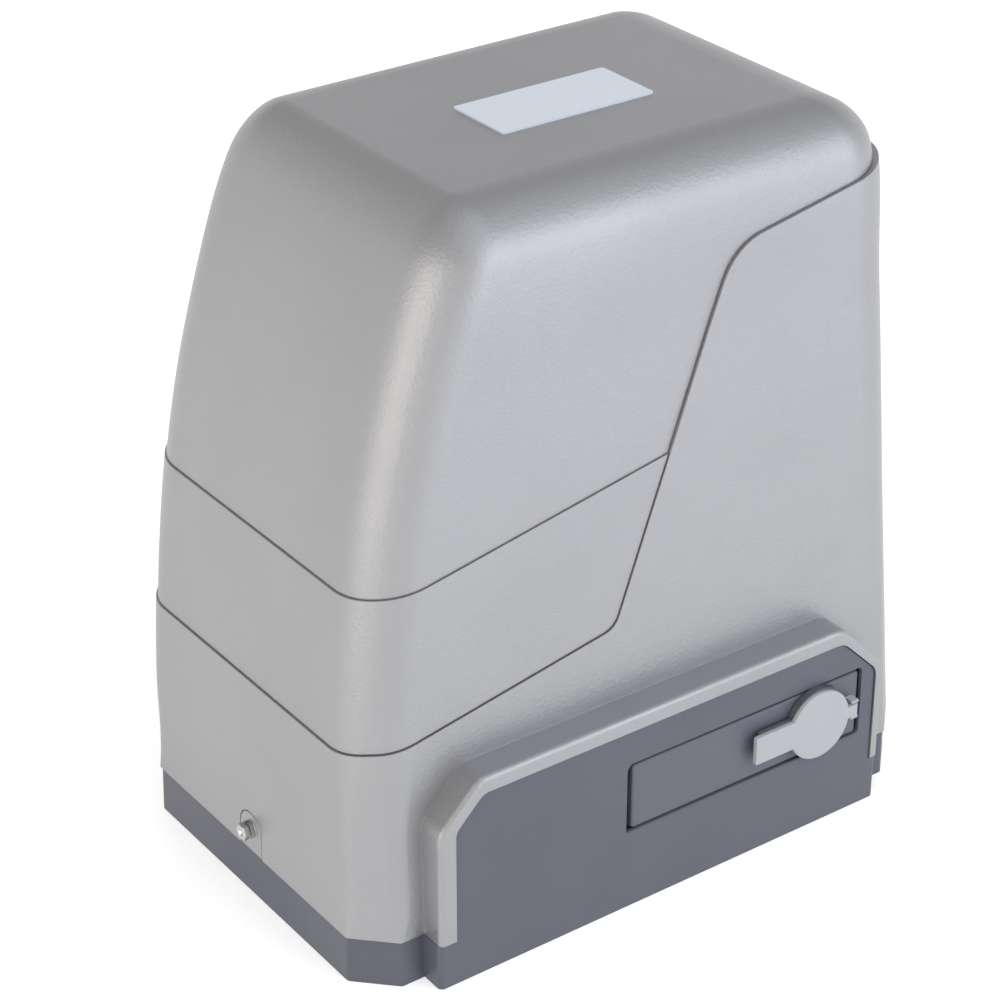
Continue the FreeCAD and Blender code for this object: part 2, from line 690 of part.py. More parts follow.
def make_lock():
    """Lock barrel, and the plug with its key slot and latch tongue."""
    y = LEVER_FACE
    barrel = without(
        joined(rod("lock_barrel / 2", "lever_thick + 3", ("lock_x", y + " - 1.5", "output_z"), "y"),
               rod("lock_barrel / 2 + 2", "1.5", ("lock_x", y + " - 1.8", "output_z"), "y")),
        rod("lock_plug / 2 + 0.05", "40", ("lock_x", y + " - 5", "output_z"), "y"))
    plug = joined(
        rod("lock_plug / 2", "lever_thick + 3.5", ("lock_x", y + " - 1.5", "output_z"), "y"),
        block(("8", "2.5", "14"), ("lock_x - 4", y + " + lever_thick + 1.9", "output_z - 4")))
    slot = block(("2.2", "9", "8"), ("lock_x - 1.1", y + " - 2", "output_z - 4"))
    return barrel, without(plug, slot)


def make_lock_cap():
    """Round cap over the key slot, with a pull tab and a strap to its hinge."""
    back = num(LEVER_FACE) - num("cap_standoff")
    x, z = num("lock_x"), num("output_z")
    radius = num("cap_disc") / 2
    thick = num("cap_thick")
    disc = Part.makeCylinder(radius, thick, Vector(x, back - thick, z), Vector(0, 1, 0))
    tab = slab([(x - 37, z - 7.0), (x - 37, z + 7.0), (x, z + 7.0), (x, z - 7.0)], [0.8, 0.8, 0, 0],
               back - thick, back)
    strap = Part.makeBox(hinge_x() - x, thick, 6.0, Vector(x, back - thick, z - 3.0))
    knuckle = Part.makeCylinder(1.9, 6.0, Vector(hinge_x(), back - 0.5, z - 3.0))
    cap = disc.fuse([tab, strap, knuckle]).removeSplitter()
    face = [e for e in cap.Edges if e.BoundBox.YMax < back - thick + 0.01 and e.BoundBox.XMax < x + radius - 3]
    cap = cap.makeFillet(0.5, face)
    skirt = Part.makeCylinder(radius - 1.5, 1.2, Vector(x, back, z), Vector(0, 1, 0))
    hollow = Part.makeCylinder(radius - 3.5, 3, Vector(x, back, z), Vector(0, 1, 0))
    bore = Part.makeCylinder(1.05, 20, Vector(hinge_x(), back - 0.5, z - 10))
    return own_shape(cap.fuse(skirt.cut(hollow)).cut(bore))


def hinge_x():
    """Axis of the lock cap's strap hinge."""
    return num("lock_x + cap_disc / 2 + 4.0")


def make_cap_hinge():
    """Small bracket on the lever that carries the cap's strap, with its pin."""
    back = num(LEVER_FACE) - num("cap_standoff")
    face = num(LEVER_FACE)
    z = num("output_z")
    ears = []
    for low in (z - 4.8, z + 3.4):
        ear = Part.makeBox(4.0, face - back + 1.6, 1.4, Vector(hinge_x() - 2.0, back - 1.6, low))
        ears.append(ear)
    pin = Part.makeCylinder(1.0, 9.6, Vector(hinge_x(), back - 0.5, z - 4.8))
    return own_shape(ears[0].fuse([ears[1], pin]))


# ---------------------------------------------------------------- gearbox
def gearbox_feet():
    """Positions of the four bolts that hold the gearbox to the base."""
    left = "(output_x - %s - 12)" % CHAMBER
    right = "(%s + 30)" % WORM_X
    return [(left, "-16"), (left, "40"), (right, "-34"), (right, "34")]


def make_gearbox():
    """Gearbox casting: wheel chamber, worm tower, motor flange, feet and output boss."""
    x, z = "output_x", "output_z"
    chamber = CHAMBER
    parts = [
        rod(chamber + " + 6", "92", (x, "-27", z), "y"),
        rod("worm_size / 2 + 14", "flange_z - 14", (WORM_X, "0", "14")),
        block((WORM_X + " - output_x + 3", "44", "46"), (x, "-22", "output_z - 23")),
        rod("bearing_outer / 2 + 7", "base_depth / 2 - 66", (x, "65", z), "y"),
        block(("motor_size + 8", "motor_size + 8", "6"),
              (WORM_X + " - motor_size / 2 - 4", "-motor_size / 2 - 4", "flange_z - 6")),
        block(("42", "86", "10"), (WORM_X + " - 3", "-43", "14")),
    ]
    for fy in ("-16", "40"):
        parts.append(block((chamber + " + 12", "18", "10"), ("output_x - " + chamber + " - 12", fy + " - 9", "14")))
    for fx, fy in gearbox_feet():
        parts.append(rod("9", "10", (fx, fy, "14")))
    for sx in (-1, 1):
        parts.append(block(("6", "motor_size / 2 + 18", "30"), (WORM_X + " + %d * 30 - 3" % sx, "-26.5", "flange_z - 34")))
    hollows = [
        rod(chamber, "60", (x, "-27", z), "y"),
        rod("bearing_outer / 2 + 0.02", "40", (x, "30", z), "y"),
        rod("shaft_size / 2 + 9", "80", (x, "60", z), "y"),
        rod("worm_size / 2 + 3.5", "200", (WORM_X, "0", "27")),
        rod("small_bearing / 2 + 0.02", "small_bearing_width + 0.5", (WORM_X, "0", "17")),
        rod("small_bearing / 2 + 0.02", "small_bearing_width + 1", (WORM_X, "0", "flange_z - small_bearing_width - 0.5")),
    ]
    for fx, fy in gearbox_feet():
        hollows.append(rod("3.3", "40", (fx, fy, "10")))
    for angle in range(6):
        bolt = cap_bolt(angle)
        hollows.append(rod("2.05", "12", (bolt[0], "-28", bolt[1]), "y"))
    for sx in (-1, 1):
        for sy in (-1, 1):
            hollows.append(rod("2.6", "20", motor_bolt(sx, sy, "flange_z - 15")))
    return without(joined(*parts), *hollows)


def cap_bolt(index):
    """Position of one gearbox cap screw in the XZ plane."""
    angle = 30 + 60 * index
    reach = "(%s + 2.5)" % CHAMBER
    return ("output_x + %s * cos(%d)" % (reach, angle), "output_z + %s * sin(%d)" % (reach, angle))


def motor_bolt(sx, sy, z):
    """Position of one motor through bolt."""
    return ("%s + %d * (motor_size / 2 - 6) * cos(45)" % (WORM_X, sx),
            "%d * (motor_size / 2 - 6) * cos(45)" % sy, z)


def make_gearbox_cap():
    """Front cap of the gearbox with the front bearing's seat."""
    x, z = "output_x", "output_z"
    cap = joined(
        rod(CHAMBER + " + 6", "5", (x, "-32", z), "y"),
        rod("bearing_outer / 2 + 6", "8", (x, "-40", z), "y"),
        rod("bearing_outer / 2 + 4", "bearing_width - 6", (x, "-27", z), "y"))
    holes = [rod("bearing_outer / 2 + 0.02", "bearing_width + 2", (x, "-33", z), "y"),
             rod("shaft_size / 2 + 1", "60", (x, "-60", z), "y")]
    for index in range(6):
        bolt = cap_bolt(index)
        holes.append(rod("2.3", "20", (bolt[0], "-40", bolt[1]), "y"))
    return without(cap, *holes)


def bearing(inner, outer, width, at, axis):
    """Ball bearing as one ring with a shallow race groove on each face."""
    middle = "(%s + %s) / 2" % (inner, outer)
    points = [
        (inner, "0"), (middle + " - 3", "0"), (middle + " - 3", "1"), (middle + " + 3", "1"),
        (middle + " + 3", "0"), (outer, "0"), (outer, width), (middle + " + 3", width),
        (middle + " + 3", width + " - 1"), (middle + " - 3", width + " - 1"), (middle + " - 3", width),
        (inner, width),
    ]
    return turned(points, at, axis)


def make_output_bearings():
    """Two ball bearings of the output shaft."""
    inner, outer = "(shaft_size / 2 + 0.01)", "(bearing_outer / 2)"
    return group(
        bearing(inner, outer, "bearing_width", ("output_x", "-33 + 0.5", "output_z"), "y"),
        bearing(inner, outer, "bearing_width", ("output_x", "52", "output_z"), "y"))


def make_oil_seal():
    """Lip seal behind the rear bearing."""
    points = [("shaft_size / 2 + 0.05", "0"), ("shaft_size / 2 + 9", "0"), ("shaft_size / 2 + 9", "8"),
              ("shaft_size / 2 + 6", "8"), ("shaft_size / 2 + 6", "2"), ("shaft_size / 2 + 2", "2"),
              ("shaft_size / 2 + 0.05", "5")]
    return turned(points, ("output_x", "70", "output_z"), "y")


def gear_wire(module, teeth, play, y, turn):
    """Involute gear outline in the XZ plane, with four arcs and lines to a tooth."""
    pitch, tip = module * teeth / 2, module * (teeth / 2 + 1)
    root = module * (teeth / 2 - 1.25)
    base = pitch * math.cos(math.radians(20))
    start = max(base, root + 0.01)

    def spread(radius):
        # half the tooth's angle at a radius
        tilt = math.acos(min(1.0, base / radius))
        flat = math.tan(math.radians(20)) - math.radians(20)
        return math.pi / (2 * teeth) - play / pitch / 2 + flat - (math.tan(tilt) - tilt)

    def at(radius, angle):
        return Vector(radius * math.cos(angle), y, -radius * math.sin(angle))

    middle = (start + tip) / 2
    edges = []
    step = 2 * math.pi / teeth
    for index in range(int(teeth)):
        axis = index * step + turn
        foot, half, top = spread(start), spread(middle), spread(tip)
        edges += [
            Part.LineSegment(at(root, axis - foot), at(start, axis - foot)).toShape(),
            Part.Arc(at(start, axis - foot), at(middle, axis - half), at(tip, axis - top)).toShape(),
            Part.Arc(at(tip, axis - top), at(tip, axis), at(tip, axis + top)).toShape(),
            Part.Arc(at(tip, axis + top), at(middle, axis + half), at(start, axis + foot)).toShape(),
            Part.LineSegment(at(start, axis + foot), at(root, axis + foot)).toShape(),
            Part.Arc(at(root, axis + foot), at(root, axis + step / 2), at(root, axis + step - foot)).toShape(),
        ]
    return Part.Wire(edges)


def dog_ring(y, phase, spread):
    """Six dog teeth round the shaft, as one list of sector solids."""
    teeth = []
    for index in range(6):
        start = 60 * index + phase
        frame = Placement(Vector(num("output_x"), y, num("output_z")), AXES["y"])
        frame = frame.multiply(Placement(Vector(), Rotation(Vector(0, 0, 1), start)))
        outer = Part.makeCylinder(25, 4, Vector(), Vector(0, 0, 1), spread)
        sector = outer.cut(Part.makeCylinder(18, 10, Vector(0, 0, -2)))
        sector.Placement = frame
        teeth.append(sector)
    return teeth


def make_worm_wheel():
    """Bronze worm wheel with slanted involute teeth, a webbed hub and dog teeth."""
    half = num("wheel_width") / 2
    lead = num("worm_module") / num("worm_size")
    slant = half * lead / num(WHEEL_RADIUS)
    wires = [gear_wire(num("worm_module"), num("wheel_teeth"), num("mesh_play"), y, turn)
             for y, turn in ((-half, -slant), (half, slant))]
    blank = Part.makeLoft(wires, True, True)
    blank.translate(Vector(num("output_x"), 0, num("output_z")))
    centre = Vector(num("output_x"), -half - 2, num("output_z"))
    axis = Vector(0, 1, 0)
    hub = Part.makeCylinder(18, 2 * half + 2, centre, axis)
    web = [Part.makeCylinder(num(WHEEL_RADIUS) - 6, 3.5, Vector(centre.x, -half - 0.01, centre.z), axis)
           .cut(Part.makeCylinder(18, 20, Vector(centre.x, -half - 5, centre.z), axis))]
    bore = Part.makeCylinder(num("shaft_size / 2 + 0.03"), 60, Vector(centre.x, -30, centre.z), axis)
    wheel = blank.cut(web).fuse([hub] + dog_ring(half - 0.01, 0, 26)).cut(bore)
    return own_shape(wheel)


def make_clutch():
    """Sliding dog sleeve with a cross pin slot and a groove."""
    half = num("wheel_width") / 2
    points = [("shaft_size / 2 + run_fit", "0"), ("22", "0"), ("22", "6"), ("18", "6"), ("18", "13"),
              ("shaft_size / 2 + run_fit", "13")]
    sleeve = turned(points, ("output_x", "wheel_width / 2 + 4.4", "output_z"), "y")
    teeth = own_shape(Part.makeCompound(dog_ring(half + 0.5, 30, 24)))
    pin_hole = rod("3.02", "60", ("output_x", "wheel_width / 2 + 4.4 + 9.5", "output_z - 30"))
    return without(joined(sleeve, teeth), pin_hole)


def make_release_rod():
    """Push rod in the hollow output shaft with its cross pin and rounded nose."""
    start = PIVOT_Y + " + pivot_inset + 1.3"
    end = "wheel_width / 2 + 4.4 + 9.5 + 4"
    length = "(%s - (%s))" % (end, start)
    tip = "rod_size / 2"
    points = [("0", "0"), ("1.2", "0"), (tip, "3"), (tip, length), ("0", length)]
    shaft = turned(points, ("output_x", start, "output_z"), "y")
    pin = rod("3", "2 * 17.8", ("output_x", "wheel_width / 2 + 4.4 + 9.5", "output_z - 17.8"))
    return joined(shaft, pin)


def make_output_shaft():
    """Hollow output shaft with a cross slot, a keyed end and a shoulder for the wheel."""
    radius = "shaft_size / 2"
    end = "(base_depth / 2 + 3 + gear_width + 3)"
    points = [("0", "-38"), (radius + " - 1", "-38"), (radius, "-37"), (radius, "base_depth / 2 + 2"),
              (radius + " - 2.5", "base_depth / 2 + 2"), (radius + " - 2.5", end), ("0", end)]
    shaft = turned(points, ("output_x", "0", "output_z"), "y")
    bore = rod("rod_size / 2 + run_fit", "38 + wheel_width / 2 + 4.4 + 22", ("output_x", "-40", "output_z"), "y")
    slot = block(("6.4", "6.4 + release_stroke + 1", "40"),
                 ("output_x - 3.2", "wheel_width / 2 + 4.4 + 9.5 - 3.2", "output_z - 20"))
    keyway = block(("6.02", "gear_width - 3", "4"),
                   ("output_x - 3.01", "base_depth / 2 + 5", "output_z + shaft_size / 2 - 2.5 - 3.2"))
    thread = rod("4.05", "20", ("output_x", end + " - 18", "output_z"), "y")
    return without(shaft, bore, slot, keyway, thread)


def make_pinion():
    """Output pinion with a hub, keyed on the shaft."""
    start = num("base_depth / 2 + 3")
    width = num("gear_width")
    rims = [gear_wire(num("gear_module"), num("gear_teeth"), 0.2, y, 0.0) for y in (start, start + width)]
    blank = Part.makeLoft(rims, True, True)
    blank.translate(Vector(num("output_x"), 0, num("output_z")))
    x, z = num("output_x"), num("output_z")
    bore = Part.makeCylinder(num("shaft_size / 2 - 2.5 + 0.02"), 80, Vector(x, start - 20, z), Vector(0, 1, 0))
    keyway = Part.makeBox(6.04, width + 2, 6.0, Vector(x - 3.02, start - 1, z + num("shaft_size / 2 - 2.5") - 3.0))
    dish = Part.makeCylinder(num("gear_module * gear_teeth / 2 - 10"), 3, Vector(x, start + width - 2.5, z),
                             Vector(0, 1, 0))
    inner = Part.makeCylinder(num("shaft_size / 2 + 5"), 5, Vector(x, start + width - 4, z), Vector(0, 1, 0))
    return own_shape(blank.cut([bore, keyway, dish.cut(inner)]))


def hexagon(across, height, at, axis):
    """Hexagonal prism, `across` flats wide."""
    reach = "(%s / 2 / cos(30))" % across
    points = [("%s * cos(%d)" % (reach, a), "%s * sin(%d)" % (reach, a)) for a in range(0, 360, 60)]
    return padded(points, height, at, axis)


def make_pinion_fixing():
    """Key, washer and bolt that hold the pinion."""
    end = "(base_depth / 2 + 3 + gear_width + 3)"
    key = block(("6", "gear_width - 4", "6"),
                ("output_x - 3", "base_depth / 2 + 5.5", "output_z + shaft_size / 2 - 2.5 - 3.2 + 0.02"))
    washer = without(rod("shaft_size / 2 + 4", "2.5", ("output_x", end, "output_z"), "y"),
                     rod("4.2", "10", ("output_x", end + " - 2", "output_z"), "y"))
    bolt = joined(rod("4", "18.5", ("output_x", end + " - 16", "output_z"), "y"),
                  hexagon("13", "5.3", ("output_x", end + " + 2.5", "output_z"), "y"))
    return key, washer, bolt


def make_clutch_spring():
    """Compression spring between the clutch sleeve and the rear bearing, lofted through six-sided sections."""
    wire = 1.2
    turns, steps, sides = 4, 18, 6
    start = num("wheel_width / 2 + 4.4 + 13 + 0.3") + wire
    stop = 52 - 0.3 - wire
    radius = num("shaft_size / 2 + 1.2") + wire
    sections = []
    for index in range(turns * steps + 1):
        angle = 2 * math.pi * index / steps
        rise = (stop - start) * index / (turns * steps)
        corners = []
        for side in range(sides + 1):
            tilt = 2 * math.pi * (side + 0.5) / sides
            reach = radius + wire * math.sin(tilt)
            corners.append(Vector(reach * math.cos(angle), reach * math.sin(angle), rise + wire * math.cos(tilt)))
        sections.append(Part.makePolygon(corners))
    coil = Part.makeLoft(sections, True, True)
    coil.Placement = Placement(Vector(num("output_x"), start, num("output_z")), AXES["y"])
    return own_shape(coil)


def worm_thread():
    """Worm thread swept along a helix, meshed with the wheel at rest."""
    pitch = math.pi * num("worm_module")
    radius = num("worm_size") / 2
    module = num("worm_module")
    turns = 7
    low = num("output_z") - math.floor(turns / 2) * pitch
    helix = Part.makeHelix(pitch, turns * pitch, radius)
    half = pitch / 4 - num("mesh_play") / 2
    tilt = math.tan(math.radians(20))
    inner, outer = -1.25 * module - 0.4, module
    points = [Vector(radius + inner, 0, -half + inner * tilt), Vector(radius + outer, 0, -half + outer * tilt),
              Vector(radius + outer, 0, half - outer * tilt), Vector(radius + inner, 0, half - inner * tilt)]
    profile = Part.makePolygon(points + points[:1])
    thread = Part.Wire(helix).makePipeShell([profile], True, True)
    thread.translate(Vector(num(WORM_X), 0, low))
    return thread


def make_rotor_shaft():
    """Rotor shaft that ends in the worm."""
    radius = "rotor_shaft / 2"
    worm = "(worm_size / 2 - 1.25 * worm_module)"
    points = [("0", "17.5"), (radius, "17.5"), (radius, "29"), (worm, "30"), (worm, "flange_z - 14"),
              (radius, "flange_z - 12"), (radius, STACK_TOP + " + 34"), ("0", STACK_TOP + " + 34")]
    shaft = turned(points, (WORM_X, "0", "0"))
    DOC.recompute()
    return own_shape(shaft.Shape.fuse(worm_thread()))


# ---------------------------------------------------------------- motor
def make_motor():
    """Stator, windings, shields, rotor core, bearings and through bolts."""
    x = WORM_X
    half = "motor_size / 2"
    stator = without(
        rod(half, "motor_stack", (x, "0", STACK_LOW)),
        rod(ROTOR_RADIUS + " + air_gap", "motor_stack + 2", (x, "0", STACK_LOW + " - 1")))
    slots = []
    for sx in (-1, 1):
        for sy in (-1, 1):
            slots.append(rod("3", "motor_stack + 2", motor_bolt(sx, sy, STACK_LOW + " - 1")))
    stator = without(stator, *slots)
    inner, outer = "(%s + 2.5)" % ROTOR_RADIUS, WINDING_RADIUS
    ring = [(inner, "0"), (outer, "0"), (outer, "9"), (outer + " - 4", "13"), (inner + " + 3", "13"),
            (inner, "10")]
    upper = turned(ring, (x, "0", STACK_TOP))
    lower_ring = [(inner, "0"), (outer, "0"), (outer, "-9"), (outer + " - 4", "-13"), (inner + " + 3", "-13"),
                  (inner, "-10")]
    lower = turned(lower_ring, (x, "0", STACK_LOW))
    core = without(rod(ROTOR_RADIUS, "motor_stack", (x, "0", STACK_LOW)),
                   rod("rotor_shaft / 2 + 0.01", "motor_stack + 2", (x, "0", STACK_LOW + " - 1")))
    return stator, group(upper, lower), core


def make_shields():
    """Lower and upper end shields of the motor."""
    x = WORM_X
    outer, wall = "(motor_size / 2 + 2)", "4"
    seat = "(small_bearing / 2 + 0.02)"
    depth = "22"
    lower = [("rotor_shaft / 2 + 3", "0"), (outer, "0"), (outer, depth), (outer + " - %s" % wall, depth),
             (outer + " - %s" % wall, "5"), ("rotor_shaft / 2 + 3", "5")]
    upper = [(outer, "0"), (outer, "18"), (outer + " - 10", "28"), (seat + " + 4", "28"),
             (seat + " + 4", "36"), ("rotor_shaft / 2 + 1.5", "36"), ("rotor_shaft / 2 + 1.5", "33.2"),
             (seat, "33.2"), (seat, "21"), (seat + " + 3", "21"), (outer + " - 12", "23"),
             (outer + " - %s" % wall, "16"), (outer + " - %s" % wall, "0")]
    shields = [turned(lower, (x, "0", "flange_z")), turned(upper, (x, "0", STACK_TOP))]
    finished = []
    for shield in shields:
        bolts = [rod("2.6", "80", motor_bolt(sx, sy, "flange_z - 1")) for sx in (-1, 1) for sy in (-1, 1)]
        high = [rod("2.6", "80", motor_bolt(sx, sy, STACK_TOP + " - 1")) for sx in (-1, 1) for sy in (-1, 1)]
        if shield is shields[0]:
            finished.append(without(shield, *bolts))
            continue
        bosses = [rod("5.5", "10", motor_bolt(sx, sy, STACK_TOP + " + 18")) for sx in (-1, 1) for sy in (-1, 1)]
        finished.append(without(joined(shield, *bosses), *high))
    return finished


def make_motor_bearings():
    """Rotor bearings at the worm's foot, below the rotor and on top."""
    inner, outer = "(rotor_shaft / 2 + 0.01)", "(small_bearing / 2)"
    heights = ["17.2", "flange_z - small_bearing_width - 0.3", STACK_TOP + " + 22"]
    return group(*[bearing(inner, outer, "small_bearing_width", (WORM_X, "0", z), "z") for z in heights])


def make_through_bolts():
    """Four long bolts that clamp the motor to the gearbox flange."""
    bolts = []
    for sx in (-1, 1):
        for sy in (-1, 1):
            shank = rod("2.5", "motor_stack + 22 + 28 + 8", motor_bolt(sx, sy, "flange_z - 8"))
            head = hexagon("8", "4", motor_bolt(sx, sy, STACK_TOP + " + 28"), "z")
            bolts.append(joined(shank, head))
    return group(*bolts)


# ---------------------------------------------------------------- screws
def make_cover_screws():
    """Hexagon screws at both sides, each with a recess dot, and their washers."""
    screws, springs, flats = [], [], []
    for side in (1, -1):
        seat = "%d * (%s - pad_recess + moving_gap)" % (side, SIDE_WALL)

        def place_from(start, length):
            return seat + " + %d * (%s)%s" % (side, start, "" if side > 0 else " - " + length)

        flats.append(without(rod("5.6", "1", (place_from("0", "1"), "screw_y", "screw_z"), "x"),
                             rod("screw_size / 2 + 0.1", "40", (seat + " - 20", "screw_y", "screw_z"), "x")))
        springs.append(without(rod("4.6", "1.3", (place_from("1", "1.3"), "screw_y", "screw_z"), "x"),
                               rod("screw_size / 2 + 0.1", "40", (seat + " - 20", "screw_y", "screw_z"), "x")))
        shank = rod("screw_size / 2", "16", (place_from("2.3 - 16", "16"), "screw_y", "screw_z"), "x")
        head = hexagon("8", "3.6", (place_from("2.3", "3.6"), "screw_y", "screw_z"), "x")
        dot = rod("1.6", "2", (place_from("2.3 + 3.6 - 0.5", "2"), "screw_y", "screw_z"), "x")
        screws.append(without(joined(shank, head), dot))
    return group(*screws), group(*springs), group(*flats)


def make_cap_screws():
    """Six screws of the gearbox cap."""
    screws = []
    for index in range(6):
        x, z = cap_bolt(index)
        screws.append(joined(rod("2", "14", (x, "-32", z), "y"), rod("3.5", "3", (x, "-35", z), "y")))
    return group(*screws)


def make_foot_bolts():
    """Four bolts of the gearbox feet."""
    bolts = []
    for x, y in gearbox_feet():
        bolts.append(joined(rod("3", "18", (x, y, "6.5")), hexagon("10", "4.5", (x, y, "24"), "z")))
    return group(*bolts)


def make_levelling_screws():
    """Four set screws that level the base."""
    screws = []
    for sx in (-1, 1):
        for sy in (-1, 1):
            at = ("%d * slot_x" % sx, "%d * (slot_y - 24)" % sy)
            stud = rod("4", "16", (at[0], at[1], "1"))
            nut = without(hexagon("13", "5", (at[0], at[1], "floor_thick + 5"), "z"),
                          rod("4.02", "20", (at[0], at[1], "0")))
            screws += [stud, nut]
    return group(*screws)


# ---------------------------------------------------------------- electrics
def make_capacitor():
    """Run capacitor in a snap clip beside the gearbox."""
    x, y = "(base_length / 2 - 52)", "8"
    can = joined(rod("19", "72", (x, y, "14")), rod("15", "4", (x, y, "86")))
    tabs = [block(("6", "0.8", "8"), (x + " %s - 3" % offset, y, "89")) for offset in ("- 7", "+ 7")]
    clip = without(
        joined(rod("21", "16", (x, y, "26")), block(("20", "34", "3"), (x + " - 10", y + " - 17", "5")),
               block(("3", "20", "37"), (x + " + 19.5", y + " - 10", "5")),
               block(("20", "20", "3"), (x + " + 2", y + " - 10", "5"))),
        rod("19.1", "100", (x, y, "8.2")),
        block(("30", "9", "40"), (x + " - 30", y + " - 4.5", "20")))
    return joined(can, *tabs), clip


def make_transformer():
    """Laminated transformer core with its coil, on the tray's floor."""
    x, y, z = "(29 - base_length / 2)", "-24", "floor_thick"
    length = "(base_length / 2 - 111)"
    core = without(block((length, "48", "42"), (x, y, z)),
                   block((length + " + 20", "9", "26"), (x + " - 10", y + " + 7", z + " + 8")),
                   block((length + " + 20", "9", "26"), (x + " - 10", y + " + 32", z + " + 8")))
    coil = without(block((length + " + 12", "33", "25"), (x + " - 6", y + " + 7.5", z + " + 8.5")),
                   block((length + " + 0.4", "16.4", "40"), (x + " - 0.2", y + " + 15.8", z + " + 1")))
    return core, coil


def make_board():
    """Control board standing on a bracket at the left of the motor, with its parts."""
    x, z = "board_x", "board_z"
    half = "board_length / 2"
    plate = block(("board_thick", "board_length", "board_height"), (x + " - 8", "-" + half, z))
    posts, holes, screws = [], [], []
    for sy in (-1, 1):
        for high in ("6", "board_height - 6"):
            at = ("%d * (%s - 6)" % (sy, half), "board_z + " + high)
            posts.append(rod("4", "6.4", (x + " - 8 + board_thick", at[0], at[1]), "x"))
            holes.append(rod("1.7", "12", (x + " - 12", at[0], at[1]), "x"))
            screws.append(joined(rod("1.5", "6", (x + " - 8", at[0], at[1]), "x"),
                                 rod("3", "2", (x + " - 10", at[0], at[1]), "x")))
    board = without(plate, *holes)
    panel = block(("3", "board_length + 4", "board_height + 6"), (x, "-" + half + " - 2", z + " - 3"))
    legs = []
    for sy in (-1, 1):
        y = "%d * (board_length / 2 - 12) - 6" % sy
        legs.append(block(("3", "12", "board_z - 14"), (x, y, "14")))
        legs.append(block(("15", "12", "3"), (x + " - 12", y, "14")))
    pilot = [rod("1.52", "8", (x + " - 8", "%d * (%s - 6)" % (sy, half), "board_z + " + high), "x")
             for sy in (-1, 1) for high in ("6", "board_height - 6")]
    foot_holes = [rod("1.7", "10", (x + " - 7", "%d * (board_length / 2 - 12)" % sy, "10")) for sy in (-1, 1)]
    windows = [block(("10", "34", "30"), (x + " - 3", "%d * 30 - 17" % sy, z + " + 36")) for sy in (-1, 1)]
    bracket = without(joined(panel, *posts, *legs), *pilot, *foot_holes, *windows)
    for sy in (-1, 1):
        at = (x + " - 7", "%d * (board_length / 2 - 12)" % sy)
        screws.append(joined(rod("1.5", "9", (at[0], at[1], "8")), rod("3", "2", (at[0], at[1], "17"))))
    return board, bracket, group(*screws)


def make_board_parts():
    """Relays, terminal blocks, and the chip, electrolytics and fuse on the board."""
    face = "(board_x - 8)"
    relays = [block(("15", "19", "15.5"), (face + " - 15", "-56 + %d" % (22 * n), "board_z + 62"))
              for n in range(3)]
    terminals = []
    for n in range(4):
        y = "-54 + %d" % (28 * n)
        body = block(("11", "25", "12"), (face + " - 11", y, "board_z + 11"))
        wells = [block(("8", "4", "5"), (face + " - 14", y + " + %s" % (1.2 + 4.8 * k), "board_z + 9.5"))
                 for k in range(5)]
        terminals.append(without(body, *wells))
    caps = [rod("5", "18", (face + " - 18", "%d" % y, "board_z + %d" % z), "x") for y, z in ((20, 78), (34, 78))]
    chip = block(("3.5", "8", "34"), (face + " - 3.5", "16", "board_z + 30"))
    fuse = joined(rod("3", "20", (face + " - 6", "-50", "board_z + 44"), "y"),
                  block(("6", "5", "7"), (face + " - 6", "-52", "board_z + 40.5")),
                  block(("6", "5", "7"), (face + " - 6", "-33", "board_z + 40.5")))
    knobs = [rod("3.5", "5", (face + " - 5", "%d" % y, "board_z + 40"), "x") for y in (34, 44, 54)]
    return group(*relays), group(*terminals), group(*caps, chip, fuse, *knobs)


def make_limit_sensor():
    """Magnetic limit sensor behind the cover's back wall, on an arm from the gearbox flange."""
    z = "flange_z"
    case = block(("54", "14", "20"), ("output_x - 27", "base_depth / 2 - 26", z + " + 2"))
    arm = block(("16", "30", "2"), ("output_x - 19", "base_depth / 2 - 46", z))
    return rounded(case, 2.0, lambda m, a: abs(a.z) > 0.9), arm


def make_grommet():
    """Rubber grommet in the cable entry."""
    radius = "cable_hole / 2"
    points = [(radius + " - 4", "-0"), (radius + " - 0.02", "0"), (radius + " - 0.02", "floor_thick + 2"),
              (radius + " + 3", "floor_thick + 2"), (radius + " + 3", "floor_thick + 5"),
              (radius + " - 2", "floor_thick + 5"), (radius + " - 4", "floor_thick + 3")]
    return turned(points, ("cable_x", "cable_y", "0"))


